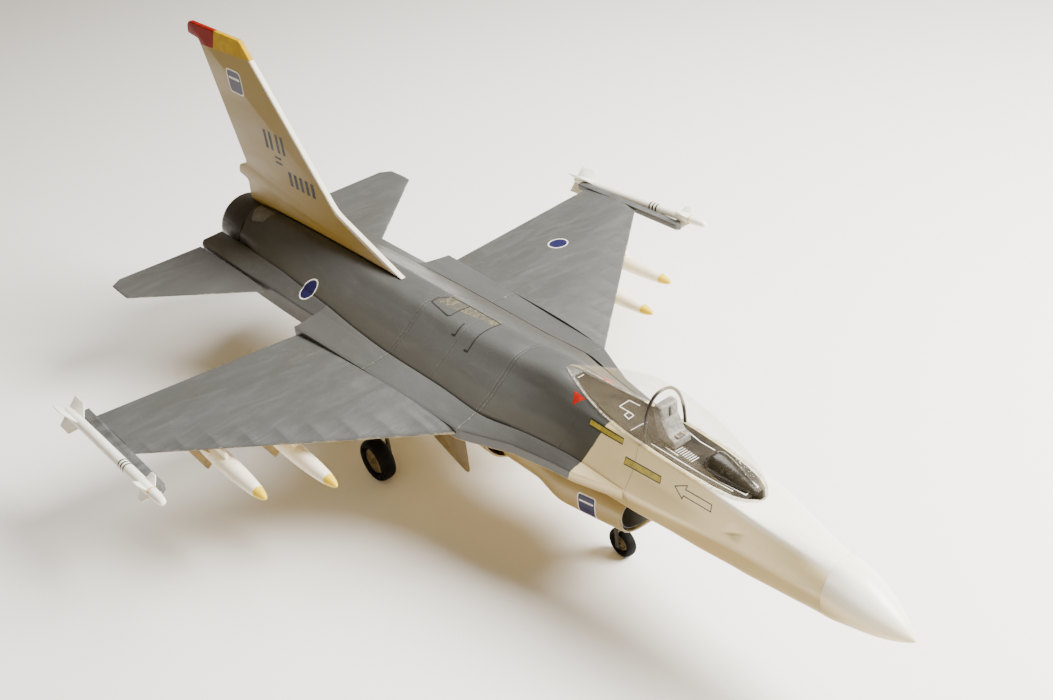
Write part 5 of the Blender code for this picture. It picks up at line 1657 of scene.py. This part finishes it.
def make_stores():
    """Two bombs under each wing, with yellow noses and tan tails, and their pylons."""
    tan = plain_paint("tail_tan", (0.42, 0.31, 0.13), 0.3, (0.35, 0.55), 9.0, 0.06)
    profile = [(0.02, 0.0), (1.4, 0.5), (2.6, 2.0), (4.2, 5.0), (5.6, 9.0), (7.2, 16.0), (8.6, 25.0)]
    profile += [(9.8, 37.0), (10.8, 50.0), (11.9, 68.0), (12.6, 86.0), (13.0, 104.0), (13.0, 120.0)]
    profile += [(12.6, 140.0), (11.9, 158.0), (10.9, 172.0), (8.9, 193.0), (6.5, 214.0)]
    profile += [(4.9, 228.0), (4.0, 235.6), (3.4, 235.9), (0.02, 235.9)]
    # Name, x, nose y, height and pylon top.
    places = (("outer", 358.0, -8.5, 157.0, 181.5), ("inner", 279.0, -51.5, 155.0, 180.5))
    for sign, side in ((1, "left"), (-1, "right")):
        for name, x, nose_y, z, top in places:
            label = f"{name}_{side}"
            node = (f"{label}_store",)
            origin = (sign * x, nose_y, z)
            nose = ((nose_y - 2.0, nose_y + 21.0, YELLOW),)
            cream = banded_paint(label + "_store_cream", nose, (0.94, 0.87, 0.70))
            body = turned(profile, origin, "Y", quality(48))
            build(label + "_bomb", body, cream, node)
            fins = fin_set(origin, 130.0, 232.0, 136.0, 232.0, 23.5, 5.0)
            build(label + "_bomb_fins", fins, tan, node)
            outline = [(98.0, z + 7.0), (186.0, z + 7.0), (192.0, top + 3.0)]
            outline += [(104.0, top), (96.0, z + 15.0)]
            ring = rounded([(nose_y + y, up) for y, up in outline], [2.0, 2.0, 1.0, 2.0, 5.0], 4)
            pylon = extruded(ring, -3.0, 3.0, "YZ", (sign * x, 0, 0), 1.2)
            build(label + "_pylon", pylon, cream, node)


EDGE_BEVEL = 0.25


def dress_frame():
    """Materials and softened edges for the CAD parts that stay on show."""
    steel = metal_paint("wire_steel", (0.16, 0.155, 0.15))
    gear = metal_paint("gear_wire", (0.09, 0.08, 0.065), 0.42)
    balsa = wood_paint("balsa_grain", (0.68, 0.50, 0.30), (0.50, 0.34, 0.18))
    ply = wood_paint("ply_grain", (0.56, 0.40, 0.21), (0.38, 0.25, 0.12))
    duct = duct_paint()
    fan = plain_paint("fan_nylon", (0.035, 0.035, 0.037), 0.3, (0.3, 0.45), 10.0, 0.04)
    alloy = metal_paint("motor_case", (0.55, 0.55, 0.57), 0.25)
    servo = plain_paint("servo_case", (0.03, 0.045, 0.10), 0.3, (0.3, 0.45), 8.0, 0.04)
    nylon = plain_paint("arm_nylon", (0.72, 0.71, 0.67), 0.15, (0.4, 0.55), 3.0, 0.04)
    wrap = plain_paint("battery_sleeve", (0.035, 0.07, 0.27), 0.3, (0.2, 0.35), 16.0, 0.12)
    board = plain_paint("circuit_sleeve", (0.05, 0.05, 0.06), 0.35, (0.3, 0.45), 7.0, 0.08)
    groups = (
        (wrap, ("battery_pack",)),
        (fan, ("fan_housing", "fan_rotor")),
        (alloy, ("fan_motor",)),
        (duct, ("inlet_duct", "thrust_tube")),
        (gear, ("nose_strut", "left_main_leg", "right_main_leg")),
        (board, ("receiver", "speed_controller")),
        (servo, ("steering_servo", "left_tail_servo", "right_tail_servo")),
        (ply, ("wing_bulkhead",)),
        (steel, ("left_pivot_rod", "right_pivot_rod", "left_pushrod", "right_pushrod")),
        (nylon, ("left_servo_arm", "right_servo_arm")),
        (balsa, ("left_wing_frame", "right_wing_frame")),
    )
    for material, names in groups:
        for name in names:
            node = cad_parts[name]
            node.data.materials.clear()
            node.data.materials.append(material)
            edge = node.modifiers.new("edge", "BEVEL")
            edge.width = EDGE_BEVEL * MM
            edge.segments = 2
            edge.limit_method = "ANGLE"
            edge.angle_limit = math.radians(40)


skins = make_fuselage()
forward_skin, centre_skin, rear_skin, intake_skin = skins
pivot_bore = cylinder(1.85, -130.0, 130.0, (0, *TAIL_PIVOT), "X")
boolean_cut(rear_skin, *pivot_bore)
fin_sheet = make_fin()
make_nozzle()
wing_skins, boom_skins = {}, {}
for wing_side, wing_label in ((1, "left"), (-1, "right")):
    wing_skins[wing_label] = make_wing(wing_side, wing_label)
    boom_skins[wing_label] = make_shelves(wing_side, wing_label, pivot_bore)
    make_tailplane(wing_side, wing_label)
make_canopy(forward_skin)
make_gear()
rail_grey = plain_paint("rail_grey", (0.085, 0.087, 0.085), 0.3, (0.4, 0.6), 22.0, 0.08)
make_missiles(rail_grey)
make_stores()
dress_frame()
make_markings(forward_skin, centre_skin, rear_skin, intake_skin, fin_sheet, wing_skins, boom_skins)
make_studio()
make_camera()
